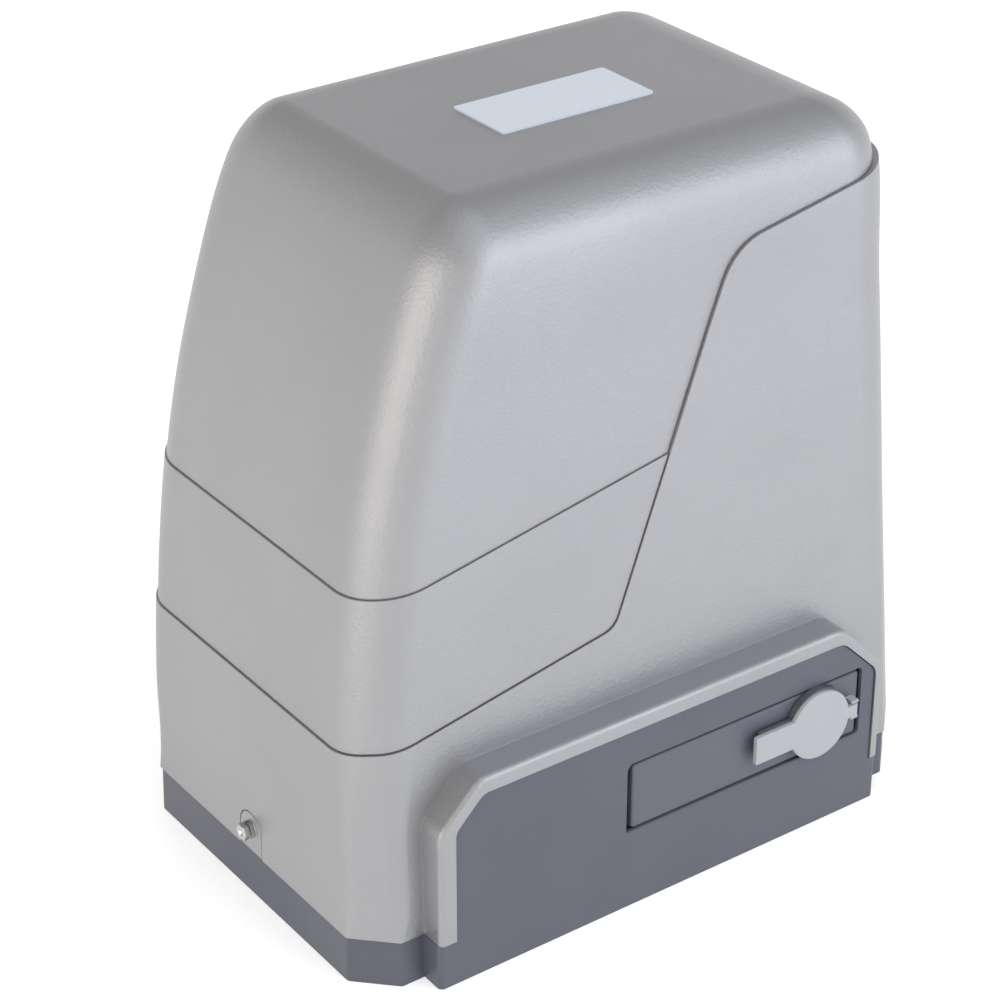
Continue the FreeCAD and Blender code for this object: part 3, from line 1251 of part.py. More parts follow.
# ---------------------------------------------------------------- assembly
def build():
    """Make every sub-part and give it its name."""
    node("cover_shell", make_cover())
    node("name_plate", make_name_plate())
    screws, springs, flats = make_cover_screws()
    node("cover_screws", screws)
    node("spring_washers", springs)
    node("flat_washers", flats)
    node("base_housing", make_base())
    node("release_lever", make_lever())
    node("lever_pin", rod("pivot_pin / 2", "lever_height + 2 * lever_gap + 7.6",
                          ("output_x", PIVOT_Y, LEVER_LOW + " - lever_gap - 3.8")))
    barrel, plug = make_lock()
    node("lock_barrel", barrel)
    node("lock_plug", plug)
    node("lock_cap", make_lock_cap())
    node("cap_hinge", make_cap_hinge())
    node("gearbox_housing", make_gearbox())
    node("gearbox_cap", make_gearbox_cap())
    node("gearbox_cap_screws", make_cap_screws())
    node("gearbox_bolts", make_foot_bolts())
    node("output_bearings", make_output_bearings())
    node("oil_seal", make_oil_seal())
    node("worm_wheel", make_worm_wheel())
    node("clutch_sleeve", make_clutch())
    node("clutch_spring", make_clutch_spring())
    node("release_rod", make_release_rod())
    node("output_shaft", make_output_shaft())
    node("output_pinion", make_pinion())
    key, washer, bolt = make_pinion_fixing()
    node("pinion_key", key)
    node("pinion_washer", washer)
    node("pinion_bolt", bolt)
    node("rotor_shaft", make_rotor_shaft())
    stator, windings, core = make_motor()
    node("stator_core", stator)
    node("stator_windings", windings)
    node("rotor_core", core)
    lower, upper = make_shields()
    node("lower_shield", lower)
    node("upper_shield", upper)
    node("motor_bearings", make_motor_bearings())
    node("motor_bolts", make_through_bolts())
    can, clip = make_capacitor()
    node("run_capacitor", can)
    node("capacitor_clip", clip)
    core, coil = make_transformer()
    node("transformer_core", core)
    node("transformer_coil", coil)
    board, bracket, fixings = make_board()
    node("control_board", board)
    node("board_bracket", bracket)
    node("board_screws", fixings)
    relays, terminals, pieces = make_board_parts()
    node("relays", relays)
    node("terminal_blocks", terminals)
    node("board_pieces", pieces)
    sensor, arm = make_limit_sensor()
    node("limit_sensor", sensor)
    node("sensor_arm", arm)
    node("cable_grommet", make_grommet())
    node("levelling_screws", make_levelling_screws())


def export():
    """Check the document and write each sub-part to its STEP file."""
    DOC.recompute()
    for obj in DOC.Objects:
        if "Invalid" in obj.State or "Error" in obj.State:
            raise RuntimeError("%s (%s) failed: %s" % (obj.Name, obj.Label, obj.State))
    for name, obj in NODES.items():
        if obj.Shape.isNull() or not obj.Shape.isValid():
            raise RuntimeError("%s has no valid shape" % name)
    os.makedirs("parts", exist_ok=True)
    for name, obj in NODES.items():
        obj.Shape.exportStep("parts/%s.step" % name)


build()
export()
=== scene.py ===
"""Looks of a sliding gate motor: paint, mouldings, castings and the detail its solids leave out.

Everything is in metres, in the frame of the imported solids: +Z up, X along the gate, and the
release lever on -Y.
"""
from __future__ import annotations

import json
import logging
import math
from collections.abc import Iterable, Mapping
from dataclasses import dataclass, field
from enum import Enum
from typing import ClassVar

import bmesh
import bpy
from mathutils import Matrix, Vector

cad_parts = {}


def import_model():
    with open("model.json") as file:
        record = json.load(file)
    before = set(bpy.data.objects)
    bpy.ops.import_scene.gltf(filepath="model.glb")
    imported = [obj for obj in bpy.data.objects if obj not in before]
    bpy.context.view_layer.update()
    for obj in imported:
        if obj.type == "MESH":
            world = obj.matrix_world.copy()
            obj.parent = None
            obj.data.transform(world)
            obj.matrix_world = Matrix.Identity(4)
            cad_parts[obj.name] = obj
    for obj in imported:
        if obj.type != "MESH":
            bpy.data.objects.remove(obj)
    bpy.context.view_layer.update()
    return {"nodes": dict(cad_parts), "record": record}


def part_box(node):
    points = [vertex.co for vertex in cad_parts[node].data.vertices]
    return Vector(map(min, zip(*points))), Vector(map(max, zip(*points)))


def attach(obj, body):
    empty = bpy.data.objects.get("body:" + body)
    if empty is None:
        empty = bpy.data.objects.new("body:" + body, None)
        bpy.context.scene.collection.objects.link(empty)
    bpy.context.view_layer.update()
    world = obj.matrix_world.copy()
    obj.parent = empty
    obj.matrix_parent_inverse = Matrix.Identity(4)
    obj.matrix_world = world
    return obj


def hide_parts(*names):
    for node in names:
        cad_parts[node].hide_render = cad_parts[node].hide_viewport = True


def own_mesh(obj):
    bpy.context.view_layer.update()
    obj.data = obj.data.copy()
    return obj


LOG = logging.getLogger("gate_motor")
MM = 0.001
# How close two vertices are when they count as one, and how flat a plane is.
WELD = 1e-6
FLAT = 1e-7
WHITE = (1.0, 1.0, 1.0, 1.0)
# The Mix node's colour sockets, which share their names with its other types.
MIX_FIRST, MIX_SECOND, MIX_RESULT = 6, 7, 2
# How far the release lever reaches past its pivot.
LEVER_PIVOT_INSET = 8.0 * MM
# Half the angle that one side of a hexagon takes.
HEXAGON_HALF_STEP = math.pi / 6
# Edges that bend less than this are shaded smooth.
SMOOTH_BEND = math.radians(35.0)


def linear(hex_colour: str) -> tuple[float, float, float, float]:
    """Turn an sRGB hex colour into linear RGBA.

    Args:
        hex_colour: six hex digits, such as "b4b8be".

    Returns:
        The linear colour with an alpha of 1.
    """
    parts = [int(hex_colour[i : i + 2], 16) / 255 for i in (0, 2, 4)]
    made = [c / 12.92 if c <= 0.04045 else ((c + 0.055) / 1.055) ** 2.4 for c in parts]
    return (made[0], made[1], made[2], 1.0)


def add(tree: bpy.types.NodeTree, kind: str, into: Mapping[object, object] | None = None,
        **settings: object) -> bpy.types.Node:
    """Add one node to a tree, with its settings and links.

    Args:
        tree: the node tree.
        kind: Blender's class of the node.
        into: what each input gets: a socket to link from, or a value.
        settings: the node's own settings.

    Returns:
        The new node.
    """
    node = tree.nodes.new(kind)
    for name, value in settings.items():
        setattr(node, name, value)
    for name, value in (into or {}).items():
        socket = node.inputs[name]
        if isinstance(value, bpy.types.NodeSocket):
            tree.links.new(value, socket)
        else:
            socket.default_value = value
    return node


def spread(tree: bpy.types.NodeTree, value: bpy.types.NodeSocket, source: tuple[float, float],
           target: tuple[float, float] = (0.0, 1.0)) -> bpy.types.NodeSocket:
    """Map one range of a value onto another.

    Args:
        tree: the node tree.
        value: the socket that is mapped.
        source: its range.
        target: what the two ends of that range become.

    Returns:
        The mapped value's socket.
    """
    return add(tree, "ShaderNodeMapRange", {
        "Value": value, "From Min": source[0], "From Max": source[1],
        "To Min": target[0], "To Max": target[1]}).outputs[0]


class Pattern(Enum):
    """How a surface was made, which sets what its bump looks like."""

    GRAIN = "spark-eroded mould grain"
    BRUSHED = "brushed or ground along one axis"
    CAST = "die-cast skin"
    LAYERS = "stacked sheets"
    WOUND = "wound wire"
    TRACKS = "copper tracks under solder mask"


@dataclass(frozen=True)
class Finish:
    """One finish: what the material is, and how its surface was made."""

    name: str
    colour: str
    second: str
    pattern: Pattern
    size_mm: float
    depth_mm: float = 0.02
    rough: float = 0.5
    rough_spread: float = 0.06
    metal: float = 0.0
    mottle_mm: float = 60.0
    flake: float = 0.0
    coat: float = 0.0
    coat_rough: float = 0.3
    axis: int = 2
    ior: float = 1.5
    edge_mm: float = 0.0
    colour_range: ClassVar[tuple[float, float]] = (0.1, 0.42)
    broad_range: ClassVar[tuple[float, float]] = (0.3, 0.7)
    broad_detail: ClassVar[float] = 3.0
    grain_detail: ClassVar[float] = 2.0
    cell_share: ClassVar[float] = 0.7
    brush_detail: ClassVar[float] = 4.0
    brush_stretch: ClassVar[float] = 0.03
    brush_shade: ClassVar[tuple[float, float]] = (0.7, 1.2)
    wave_share: ClassVar[float] = 3.2
    wave_bend: ClassVar[float] = 0.4
    wave_detail: ClassVar[float] = 1.0
    wave_shade: ClassVar[tuple[float, float]] = (0.5, 1.1)
    track_edge: ClassVar[tuple[float, float]] = (0.06, 0.1)
    bevel_samples: ClassVar[int] = 4

    def material(self) -> bpy.types.Material:
        """Build the node material, or give the one already built."""
        made = bpy.data.materials.get(self.name)
        if made:
            return made
        made = bpy.data.materials.new(self.name)
        made.use_nodes = True
        tree = made.node_tree
        shader = tree.nodes["Principled BSDF"]
        place = add(tree, "ShaderNodeTexCoord").outputs["Object"]
        height, shade = self.surface(tree, place)
        broad = add(tree, "ShaderNodeTexNoise",
                    {"Vector": place, "Scale": 1 / (self.mottle_mm * MM),
                     "Detail": self.broad_detail})
        share = add(tree, "ShaderNodeMath", {0: shade, 1: broad.outputs["Fac"]},
                    operation="MULTIPLY")
        ramp = spread(tree, share.outputs[0], self.colour_range)
        tint = add(tree, "ShaderNodeMix",
                   {"Factor": ramp, MIX_FIRST: linear(self.second),
                    MIX_SECOND: linear(self.colour)}, data_type="RGBA")
        tree.links.new(tint.outputs[MIX_RESULT], shader.inputs["Base Color"])
        rough = spread(tree, broad.outputs["Fac"], self.broad_range,
                       (self.rough - self.rough_spread, self.rough + self.rough_spread))
        tree.links.new(rough, shader.inputs["Roughness"])
        bump = add(tree, "ShaderNodeBump",
                   {"Height": height, "Distance": self.depth_mm * MM, "Strength": 1.0})
        if self.edge_mm:
            edge = add(tree, "ShaderNodeBevel", {"Radius": self.edge_mm * MM},
                       samples=self.bevel_samples)
            tree.links.new(edge.outputs[0], bump.inputs["Normal"])
        tree.links.new(bump.outputs[0], shader.inputs["Normal"])
        shader.inputs["Metallic"].default_value = self.metal
        shader.inputs["IOR"].default_value = self.ior
        shader.inputs["Coat Weight"].default_value = self.coat
        shader.inputs["Coat Roughness"].default_value = self.coat_rough
        return made

    def surface(self, tree: bpy.types.NodeTree,
                place: bpy.types.NodeSocket) -> tuple[bpy.types.NodeSocket, bpy.types.NodeSocket]:
        """Add the nodes of the surface pattern.

        Args:
            tree: the material's tree.
            place: Object coordinates, in metres.

        Returns:
            The height that the bump reads, and the shade that the colour reads.
        """
        scale = 1 / (self.size_mm * MM)
        if self.pattern in (Pattern.GRAIN, Pattern.CAST):
            fine = add(tree, "ShaderNodeTexNoise",
                       {"Vector": place, "Scale": scale, "Detail": self.grain_detail})
            cells = add(tree, "ShaderNodeTexVoronoi",
                        {"Vector": place, "Scale": scale * self.cell_share}, feature="SMOOTH_F1")
            both = add(tree, "ShaderNodeMath",
                       {0: fine.outputs["Fac"], 1: cells.outputs["Distance"]}, operation="ADD")
            return both.outputs[0], spread(tree, fine.outputs["Fac"], (0.0, 1.0),
                                           (1 - self.flake, 1 + self.flake))
        if self.pattern is Pattern.BRUSHED:
            stretch = [1.0, 1.0, 1.0]
            stretch[self.axis] = self.brush_stretch
            along = add(tree, "ShaderNodeMapping", {"Vector": place, "Scale": stretch})
            lines = add(tree, "ShaderNodeTexNoise",
                        {"Vector": along.outputs[0], "Scale": scale,
                         "Detail": self.brush_detail})
            return lines.outputs["Fac"], spread(tree, lines.outputs["Fac"], (0.0, 1.0),
                                                self.brush_shade)
        if self.pattern in (Pattern.LAYERS, Pattern.WOUND):
            bands = add(tree, "ShaderNodeTexWave",
                        {"Vector": place, "Scale": scale / self.wave_share,
                         "Distortion": self.wave_bend, "Detail": self.wave_detail},
                        bands_direction="XYZ"[self.axis], wave_profile="SIN")
            return bands.outputs["Fac"], spread(tree, bands.outputs["Fac"], (0.0, 1.0),
                                                self.wave_shade)
        nearest, second = (add(tree, "ShaderNodeTexVoronoi", {"Vector": place, "Scale": scale},
                               feature=feature, distance="CHEBYCHEV")
                           for feature in ("F1", "F2"))
        tracks = add(tree, "ShaderNodeMath",
                     {0: second.outputs["Distance"], 1: nearest.outputs["Distance"]},
                     operation="SUBTRACT")
        step = spread(tree, tracks.outputs[0], self.track_edge)
        return step, step


# Metallic lacquer over grained ABS: soft metal sheen, the mould's fine grain showing through it.
SILVER = Finish("lacquer_silver_grained_abs", "a8a8aa", "9a9a9c", Pattern.GRAIN, 1.0,
                depth_mm=0.09, rough=0.45, metal=0.7, mottle_mm=90, flake=0.25, coat=0.2,
                coat_rough=0.35, edge_mm=0.5)
# Slate ABS of the base: dull plastic with a faint grain and slightly bright edges.
SLATE = Finish("moulded_slate_abs", "61636f", "595b66", Pattern.GRAIN, 0.6, depth_mm=0.03,
               rough=0.45, edge_mm=0.5)
# Nylon of the lever: the base's colour, a touch lighter and smoother.
LEVER = Finish("moulded_slate_nylon", "666874", "5e606b", Pattern.GRAIN, 0.6, depth_mm=0.03,
               rough=0.42, edge_mm=0.5)
# Pale ABS of the lock's cap: even, light grey, without metal.
PALE = Finish("moulded_pale_grey_abs", "bfc1c4", "b6b8bb", Pattern.GRAIN, 0.6, depth_mm=0.02,
              rough=0.42, edge_mm=0.5)
# Painted shade under that cap: dark grey for the shadow on its skirt, so the disc stands out from
# it.
PAINTED_SHADE = Finish("painted_shade_grey_abs", "5f6168", "585a60", Pattern.GRAIN, 0.6, depth_mm=0.02,
               rough=0.45)
# Brushed plate with a cool white face and fine lines along its length.
SHEET = Finish("satin_white_aluminium_sheet", "e3ebf6", "dae2ee", Pattern.BRUSHED, 0.35,
               depth_mm=0.01, rough=0.34, metal=0.1, axis=0)
# Bright turned steel of screws and washers, with lathe lines in its highlights.
STAINLESS = Finish("turned_stainless_steel", "c4c4c2", "a8a8a6", Pattern.BRUSHED, 0.3,
                   depth_mm=0.01, rough=0.28, metal=1.0, axis=1)
# Ground pins and rods: a fine straight lay.
GROUND = Finish("ground_steel", "a9abae", "8f9194", Pattern.BRUSHED, 0.3, depth_mm=0.01,
                rough=0.3, metal=1.0, axis=2)
# Zinc plating: slightly yellow, cloudy over a few millimetres.
ZINC = Finish("zinc_plated_steel", "c2c3bd", "9fa19c", Pattern.BRUSHED, 0.4, depth_mm=0.01,
              rough=0.35, metal=1.0, axis=2, mottle_mm=6)
# Chrome of the lock's barrel: the sharpest reflections here.
CHROME = Finish("chrome_plated_zinc", "cfd0d1", "bfc0c1", Pattern.BRUSHED, 0.3, depth_mm=0.003,
                rough=0.12, rough_spread=0.03, metal=1.0, axis=1)
# Brass of the lock's plug: warm yellow metal.
BRASS = Finish("turned_brass", "c9a45c", "a98640", Pattern.BRUSHED, 0.3, depth_mm=0.01,
               rough=0.3, metal=1.0, axis=1)
# Bronze of the worm wheel: redder than the brass, with the cutter's marks.
BRONZE = Finish("cut_bronze", "b98a4a", "94692f", Pattern.BRUSHED, 0.3, depth_mm=0.015,
                rough=0.36, metal=1.0, axis=1)
# Die casting of gearbox and shields: grey, pebbled, cloudy, with wide dull highlights.
CAST = Finish("die_cast_aluminium", "a7a9ab", "8d8f91", Pattern.CAST, 1.4, depth_mm=0.12,
              rough=0.52, metal=0.9, mottle_mm=18)
# Blackened screws: near black with a dull metal shine.
BLACKED = Finish("blackened_steel", "2a2a2c", "1c1c1e", Pattern.CAST, 0.5, depth_mm=0.02,
                 rough=0.45, metal=0.7)
# Seal and grommet rubber: black and matt.
RUBBER = Finish("moulded_nitrile_rubber", "1d1d1e", "151516", Pattern.GRAIN, 0.5, depth_mm=0.03,
                rough=0.75)
# Drawn wire of the clutch spring: grey steel with drawing lines.
SPRING = Finish("drawn_spring_steel", "8c8d90", "6c6d70", Pattern.BRUSHED, 0.3, depth_mm=0.01,
                rough=0.35, metal=1.0, axis=2)
# Cut and plated pinion: pale metal with small cloudy patches.
GEAR = Finish("zinc_plated_gear_steel", "b5b5b0", "93948f", Pattern.CAST, 0.5, depth_mm=0.02,
              rough=0.38, metal=1.0, mottle_mm=8)
# Stack of sheets: fine level lines round the motor. Electrical steel is 0.5 mm thick; its sheets
# are drawn twice as thick, so that they show.
SHEETS = Finish("stacked_electrical_steel", "77797c", "4b4c4e", Pattern.LAYERS, 1.0,
                depth_mm=0.25, rough=0.5, metal=0.7, axis=2)
# Coil heads: glossy copper-coloured enamel over round wire.
COPPER = Finish("enamelled_copper_wire", "b0633a", "70381c", Pattern.WOUND, 1.2, depth_mm=0.5,
                rough=0.3, metal=0.6, axis=2, coat=0.5, coat_rough=0.2)
# Rotor turned true on its shaft: plain grey metal with fine rings.
ROTOR = Finish("turned_rotor_steel", "9c9da0", "7c7d80", Pattern.BRUSHED, 0.4, depth_mm=0.02,
               rough=0.4, metal=1.0, axis=2)
# Capacitor's can: off-white plastic.
IVORY = Finish("moulded_ivory_polypropylene", "dcdcd6", "d0d0c8", Pattern.GRAIN, 0.5,
               depth_mm=0.02, rough=0.4)
# Black nylon of bracket and clip: dull with a faint grain.
BLACK = Finish("moulded_black_nylon", "26272a", "1d1e20", Pattern.GRAIN, 0.5, depth_mm=0.03,
               rough=0.5)
# Yellow tape round the transformer's coil: glossy, with the edges of its turns.
TAPE = Finish("polyester_coil_tape", "c9a83c", "a98a28", Pattern.LAYERS, 3.0, depth_mm=0.1,
              rough=0.3, axis=1, coat=0.4)
# Green solder mask with darker straight tracks under it. Real tracks are finer than the 5 mm
# cells here, which still show from a distance.
BOARD = Finish("solder_mask_board", "1b6b3c", "0f4a28", Pattern.TRACKS, 5.0, depth_mm=0.03,
               rough=0.3, coat=0.5, coat_rough=0.15)
# Relay's case: smooth dark plastic.
RELAY = Finish("moulded_relay_case", "2a2d33", "212328", Pattern.GRAIN, 0.4, depth_mm=0.01,
               rough=0.3)
# Terminal blocks: light green plastic, brighter than the board.
TERMINAL = Finish("moulded_green_terminal", "2c8a4a", "20703a", Pattern.GRAIN, 0.4,
                  depth_mm=0.01, rough=0.4)
# Epoxy of chip, electrolytics and fuse: black and smooth.
CHIP = Finish("moulded_black_epoxy", "222326", "191a1c", Pattern.GRAIN, 0.4, depth_mm=0.01,
              rough=0.4)
# Resistors: tan lacquer with a small shine.
RESISTOR = Finish("lacquered_ceramic_resistor", "b9946a", "a07c52", Pattern.GRAIN, 0.4,
                  depth_mm=0.01, rough=0.35, coat=0.3)

SLOT_FINISH: dict[str, Finish] = {
    "cover_paint": SILVER, "plate_sheet": SHEET, "stainless": STAINLESS, "base_paint": SLATE,
    "lever_plastic": LEVER, "ground_steel": GROUND, "chrome_plate": CHROME, "brass_plug": BRASS,
    "cap_plastic": PALE, "cast_alloy": CAST, "black_steel": BLACKED, "zinc_steel": ZINC,
    "seal_rubber": RUBBER, "wheel_bronze": BRONZE, "spring_steel": SPRING, "gear_steel": GEAR,
    "laminations": SHEETS, "enamel_copper": COPPER, "rotor_steel": ROTOR,
    "capacitor_plastic": IVORY, "black_plastic": BLACK, "coil_tape": TAPE, "board_green": BOARD,
    "relay_black": RELAY, "terminal_green": TERMINAL, "component_black": CHIP,
}


@dataclass(frozen=True)
class Lamp:
    """One soft square lamp."""

    name: str
    at: tuple[float, float, float]
    size: float
    watts: float
    colour: str

    def hang(self, aim: Vector) -> None:
        """Hang the lamp so that it faces a point."""
        data = bpy.data.lights.new(self.name, "AREA")
        data.size = self.size
        data.energy = self.watts
        data.color = linear(self.colour)[:3]
        made = bpy.data.objects.new(self.name, data)
        made.location = self.at
        made.rotation_euler = (aim - Vector(self.at)).to_track_quat("-Z", "Y").to_euler()
        bpy.context.scene.collection.objects.link(made)


@dataclass
class Studio:
    """The floor, the soft lamps, the world and the camera."""

    camera_at: tuple[float, float, float] = (-0.6557, -0.8854, 0.7652)
    camera_turn_deg: tuple[float, float, float] = (60.70, 0.0, -35.82)
    lens: float = 103.2
    sensor: float = 36.0
    aim_height: float = 0.15
    world_strength: float = 0.58
    overhead: float = 0.42
    overhead_range: tuple[float, float] = (0.15, 0.7)
    floor_glow: float = 0.48
    floor_size: float = 8.0
    floor_grey: float = 0.93
    floor_rough: float = 0.35
    lamps: tuple[Lamp, ...] = (
        Lamp("left", (-2.3, -0.6, 0.65), 1.5, 14.0, "fff5ea"),
        Lamp("front", (1.1, -2.1, 0.75), 1.9, 20.0, "eaf1ff"),
        Lamp("top", (0.1, -1.2, 2.3), 2.4, 12.0, "f4f8ff"),
    )

    def build(self) -> None:
        """Make all of it."""
        self.camera()
        self.world()
        self.floor()
        for lamp in self.lamps:
            lamp.hang(Vector((0.0, 0.0, self.aim_height)))

    def camera(self) -> None:
        """Make the camera at its measured place."""
        data = bpy.data.cameras.new("camera")
        data.lens = self.lens
        data.sensor_width = self.sensor
        made = bpy.data.objects.new("camera", data)
        made.location = self.camera_at
        made.rotation_euler = [math.radians(a) for a in self.camera_turn_deg]
        bpy.context.scene.collection.objects.link(made)
        bpy.context.scene.camera = made
        bpy.context.scene.view_settings.view_transform = "Standard"

    def seen(self, tree: bpy.types.NodeTree) -> bpy.types.NodeSocket:
        """Give 1 for rays that show the background: from the camera, off gloss or through glass."""
        path = add(tree, "ShaderNodeLightPath").outputs
        gloss = add(tree, "ShaderNodeMath",
                    {0: path["Is Camera Ray"], 1: path["Is Glossy Ray"]}, operation="MAXIMUM")
        return add(tree, "ShaderNodeMath",
                   {0: gloss.outputs[0], 1: path["Is Transmission Ray"]},
                   operation="MAXIMUM").outputs[0]

    def world(self) -> None:
        """Make a soft grey world that is seen as a white cove with a dimmer ceiling."""
        world = bpy.data.worlds.new("studio")
        world.use_nodes = True
        tree = world.node_tree
        tree.nodes.clear()
        way = add(tree, "ShaderNodeTexCoord").outputs["Generated"]
        up = add(tree, "ShaderNodeSeparateXYZ", {0: way}).outputs["Z"]
        low, high = self.overhead_range
        cove = add(tree, "ShaderNodeMapRange",
                   {"Value": up, "From Min": low, "From Max": high, "To Min": 1.0,
                    "To Max": self.overhead}, interpolation_type="SMOOTHSTEP")
        lit = add(tree, "ShaderNodeBackground", {"Color": WHITE, "Strength": self.world_strength})
        shown = add(tree, "ShaderNodeBackground", {"Color": WHITE, "Strength": cove.outputs[0]})
        both = add(tree, "ShaderNodeMixShader",
                   {0: self.seen(tree), 1: lit.outputs[0], 2: shown.outputs[0]})
        add(tree, "ShaderNodeOutputWorld", {"Surface": both.outputs[0]})
        bpy.context.scene.world = world

    def floor(self) -> None:
        """Make the pale floor, which is seen as white outside the shadow."""
        mesh = bmesh.new()
        bmesh.ops.create_grid(mesh, x_segments=1, y_segments=1, size=self.floor_size / 2)
        made = finished("floor", mesh)
        material = bpy.data.materials.new("floor_paper")
        material.use_nodes = True
        tree = material.node_tree
        shader = tree.nodes["Principled BSDF"]
        shader.inputs["Base Color"].default_value = (*[self.floor_grey] * 3, 1.0)
        shader.inputs["Roughness"].default_value = self.floor_rough
        glow = add(tree, "ShaderNodeEmission", {"Color": WHITE, "Strength": self.floor_glow})
        lit = add(tree, "ShaderNodeAddShader", {0: shader.outputs[0], 1: glow.outputs[0]})
        both = add(tree, "ShaderNodeMixShader",
                   {0: self.seen(tree), 1: shader.outputs[0], 2: lit.outputs[0]})
        tree.links.new(both.outputs[0], tree.nodes["Material Output"].inputs["Surface"])
        made.data.materials.append(material)


def finished(name: str, mesh: bmesh.types.BMesh) -> bpy.types.Object:
    """Turn a bmesh into an object at the origin.

    Args:
        name: the piece's name.
        mesh: the bmesh, which is freed.

    Returns:
        The new object.
    """
    bmesh.ops.recalc_face_normals(mesh, faces=mesh.faces)
    for face in mesh.faces:
        face.smooth = True
    for edge in mesh.edges:
        edge.smooth = edge.calc_face_angle(math.pi) < SMOOTH_BEND
    data = bpy.data.meshes.new(name)
    mesh.to_mesh(data)
    mesh.free()
    made = bpy.data.objects.new(name, data)
    bpy.context.scene.collection.objects.link(made)
    return made


def dress_solids(frame: Mapping[str, object]) -> None:
    """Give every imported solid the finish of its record's slot.
    """
    slots = {row["node"]: row["material_slot"] for row in frame["record"]["subparts"]}
    for name, piece in frame["nodes"].items():
        material = SLOT_FINISH[slots[name]].material()
        if not piece.material_slots:
            piece.data.materials.append(material)
        for slot in piece.material_slots:
            slot.material = material
        LOG.info("%s: %s", name, material.name)


class Axis(Enum):
    """The way a turned piece points."""

    X = Vector((1, 0, 0))
    Y = Vector((0, 1, 0))
    Z = Vector((0, 0, 1))

    def turn(self) -> Matrix:
        """Give the matrix that turns +Z to this axis."""
        return Vector((0, 0, 1)).rotation_difference(self.value).to_matrix().to_4x4()


def round_off(mesh: bmesh.types.BMesh, geom: Iterable[object], offset: float, segments: int,
              affect: str = "EDGES") -> None:
    """Round some edges or corners of a mesh.

    Args:
        mesh: the bmesh.
        geom: the edges, or the vertices, that are rounded.
        offset: how far the rounding reaches.
        segments: how many faces it has.
        affect: "EDGES" or "VERTICES".
    """
    bmesh.ops.bevel(mesh, geom=list(geom), offset=offset, offset_type="OFFSET", segments=segments,
                    profile=0.5, affect=affect, clamp_overlap=True, material=-1)


def raised(mesh: bmesh.types.BMesh, faces: list[bmesh.types.BMFace],
           move: tuple[float, float, float]) -> list[bmesh.types.BMFace]:
    """Extrude some faces along a line.

    Args:
        mesh: the bmesh.
        faces: the faces that are extruded.
        move: how far and which way.

    Returns:
        The faces at the far end.
    """
    grown = bmesh.ops.extrude_face_region(mesh, geom=faces)["geom"]
    bmesh.ops.translate(mesh, vec=move,
                        verts=[v for v in grown if isinstance(v, bmesh.types.BMVert)])
    return [f for f in grown if isinstance(f, bmesh.types.BMFace)]


def mirrored(mesh: bmesh.types.BMesh, known: set[bmesh.types.BMVert]) -> None:
    """Move the newest part of a mesh to the other side, as its mirror image.

    Args:
        mesh: the bmesh.
        known: the vertices that were there before, which stay where they are.
    """
    bmesh.ops.scale(mesh, vec=(-1, 1, 1), verts=[v for v in mesh.verts if v not in known])


def in_mm(outline: list[tuple[float, float]]) -> list[tuple[float, float]]:
    """Turn an outline written in millimetres into metres."""
    return [(radius * MM, height * MM) for radius, height in outline]


def spun(mesh: bmesh.types.BMesh, outline: list[tuple[float, float]], at: Vector, axis: Axis,
         steps: int) -> None:
    """Turn an outline about its own axis, as on a lathe, and add it to a mesh.

    Args:
        mesh: the bmesh that gets it.
        outline: (radius, height) points in metres, from one end to the other.
        at: where the outline's origin goes.
        axis: the way that the height runs.
        steps: how many steps the turn has.
    """
    points = [mesh.verts.new((radius, 0.0, height)) for radius, height in outline]
    lines = [mesh.edges.new(pair) for pair in zip(points, points[1:])]
    known = set(mesh.verts) - set(points)
    bmesh.ops.spin(mesh, geom=points + lines, cent=(0, 0, 0), axis=(0, 0, 1), dvec=(0, 0, 0),
                   angle=2 * math.pi, steps=steps, use_merge=True, use_duplicate=False)
    made = [v for v in mesh.verts if v not in known]
    bmesh.ops.remove_doubles(mesh, verts=made, dist=WELD)
    made = [v for v in mesh.verts if v not in known]
    bmesh.ops.transform(mesh, matrix=Matrix.Translation(at) @ axis.turn(), verts=made)


def brick(mesh: bmesh.types.BMesh, low: Vector, high: Vector, edge: float,
          segments: int = 2) -> None:
    """Add a box with rounded edges.

    Args:
        mesh: the bmesh that gets it.
        low: its lowest corner.
        high: its highest corner.
        edge: how far its edges are rounded.
        segments: how many faces the rounding has.
    """
    size = high - low
    place = Matrix.Translation((low + high) / 2) @ Matrix.Diagonal((*size, 1.0))
    verts = bmesh.ops.create_cube(mesh, size=1.0, matrix=place)["verts"]
    round_off(mesh, {e for v in verts for e in v.link_edges}, edge, segments)


def settle(piece: bpy.types.Object, body: str, finish: Finish,
           replaces: tuple[str, ...] = ()) -> bpy.types.Object:
    """Give a new piece its finish, the body it rides on and the solids it stands for.

    Args:
        piece: the new object.
        body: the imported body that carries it.
        finish: its finish.
        replaces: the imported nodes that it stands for.

    Returns:
        The same object.
    """
    piece.data.materials.append(finish.material())
    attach(piece, body)
    if replaces:
        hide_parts(*replaces)
    LOG.info("%s rides on %s: %s", piece.name, body, finish.name)
    return piece


def middle_of(node: str) -> Vector:
    """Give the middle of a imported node's box."""
    low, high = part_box(node)
    return (low + high) / 2


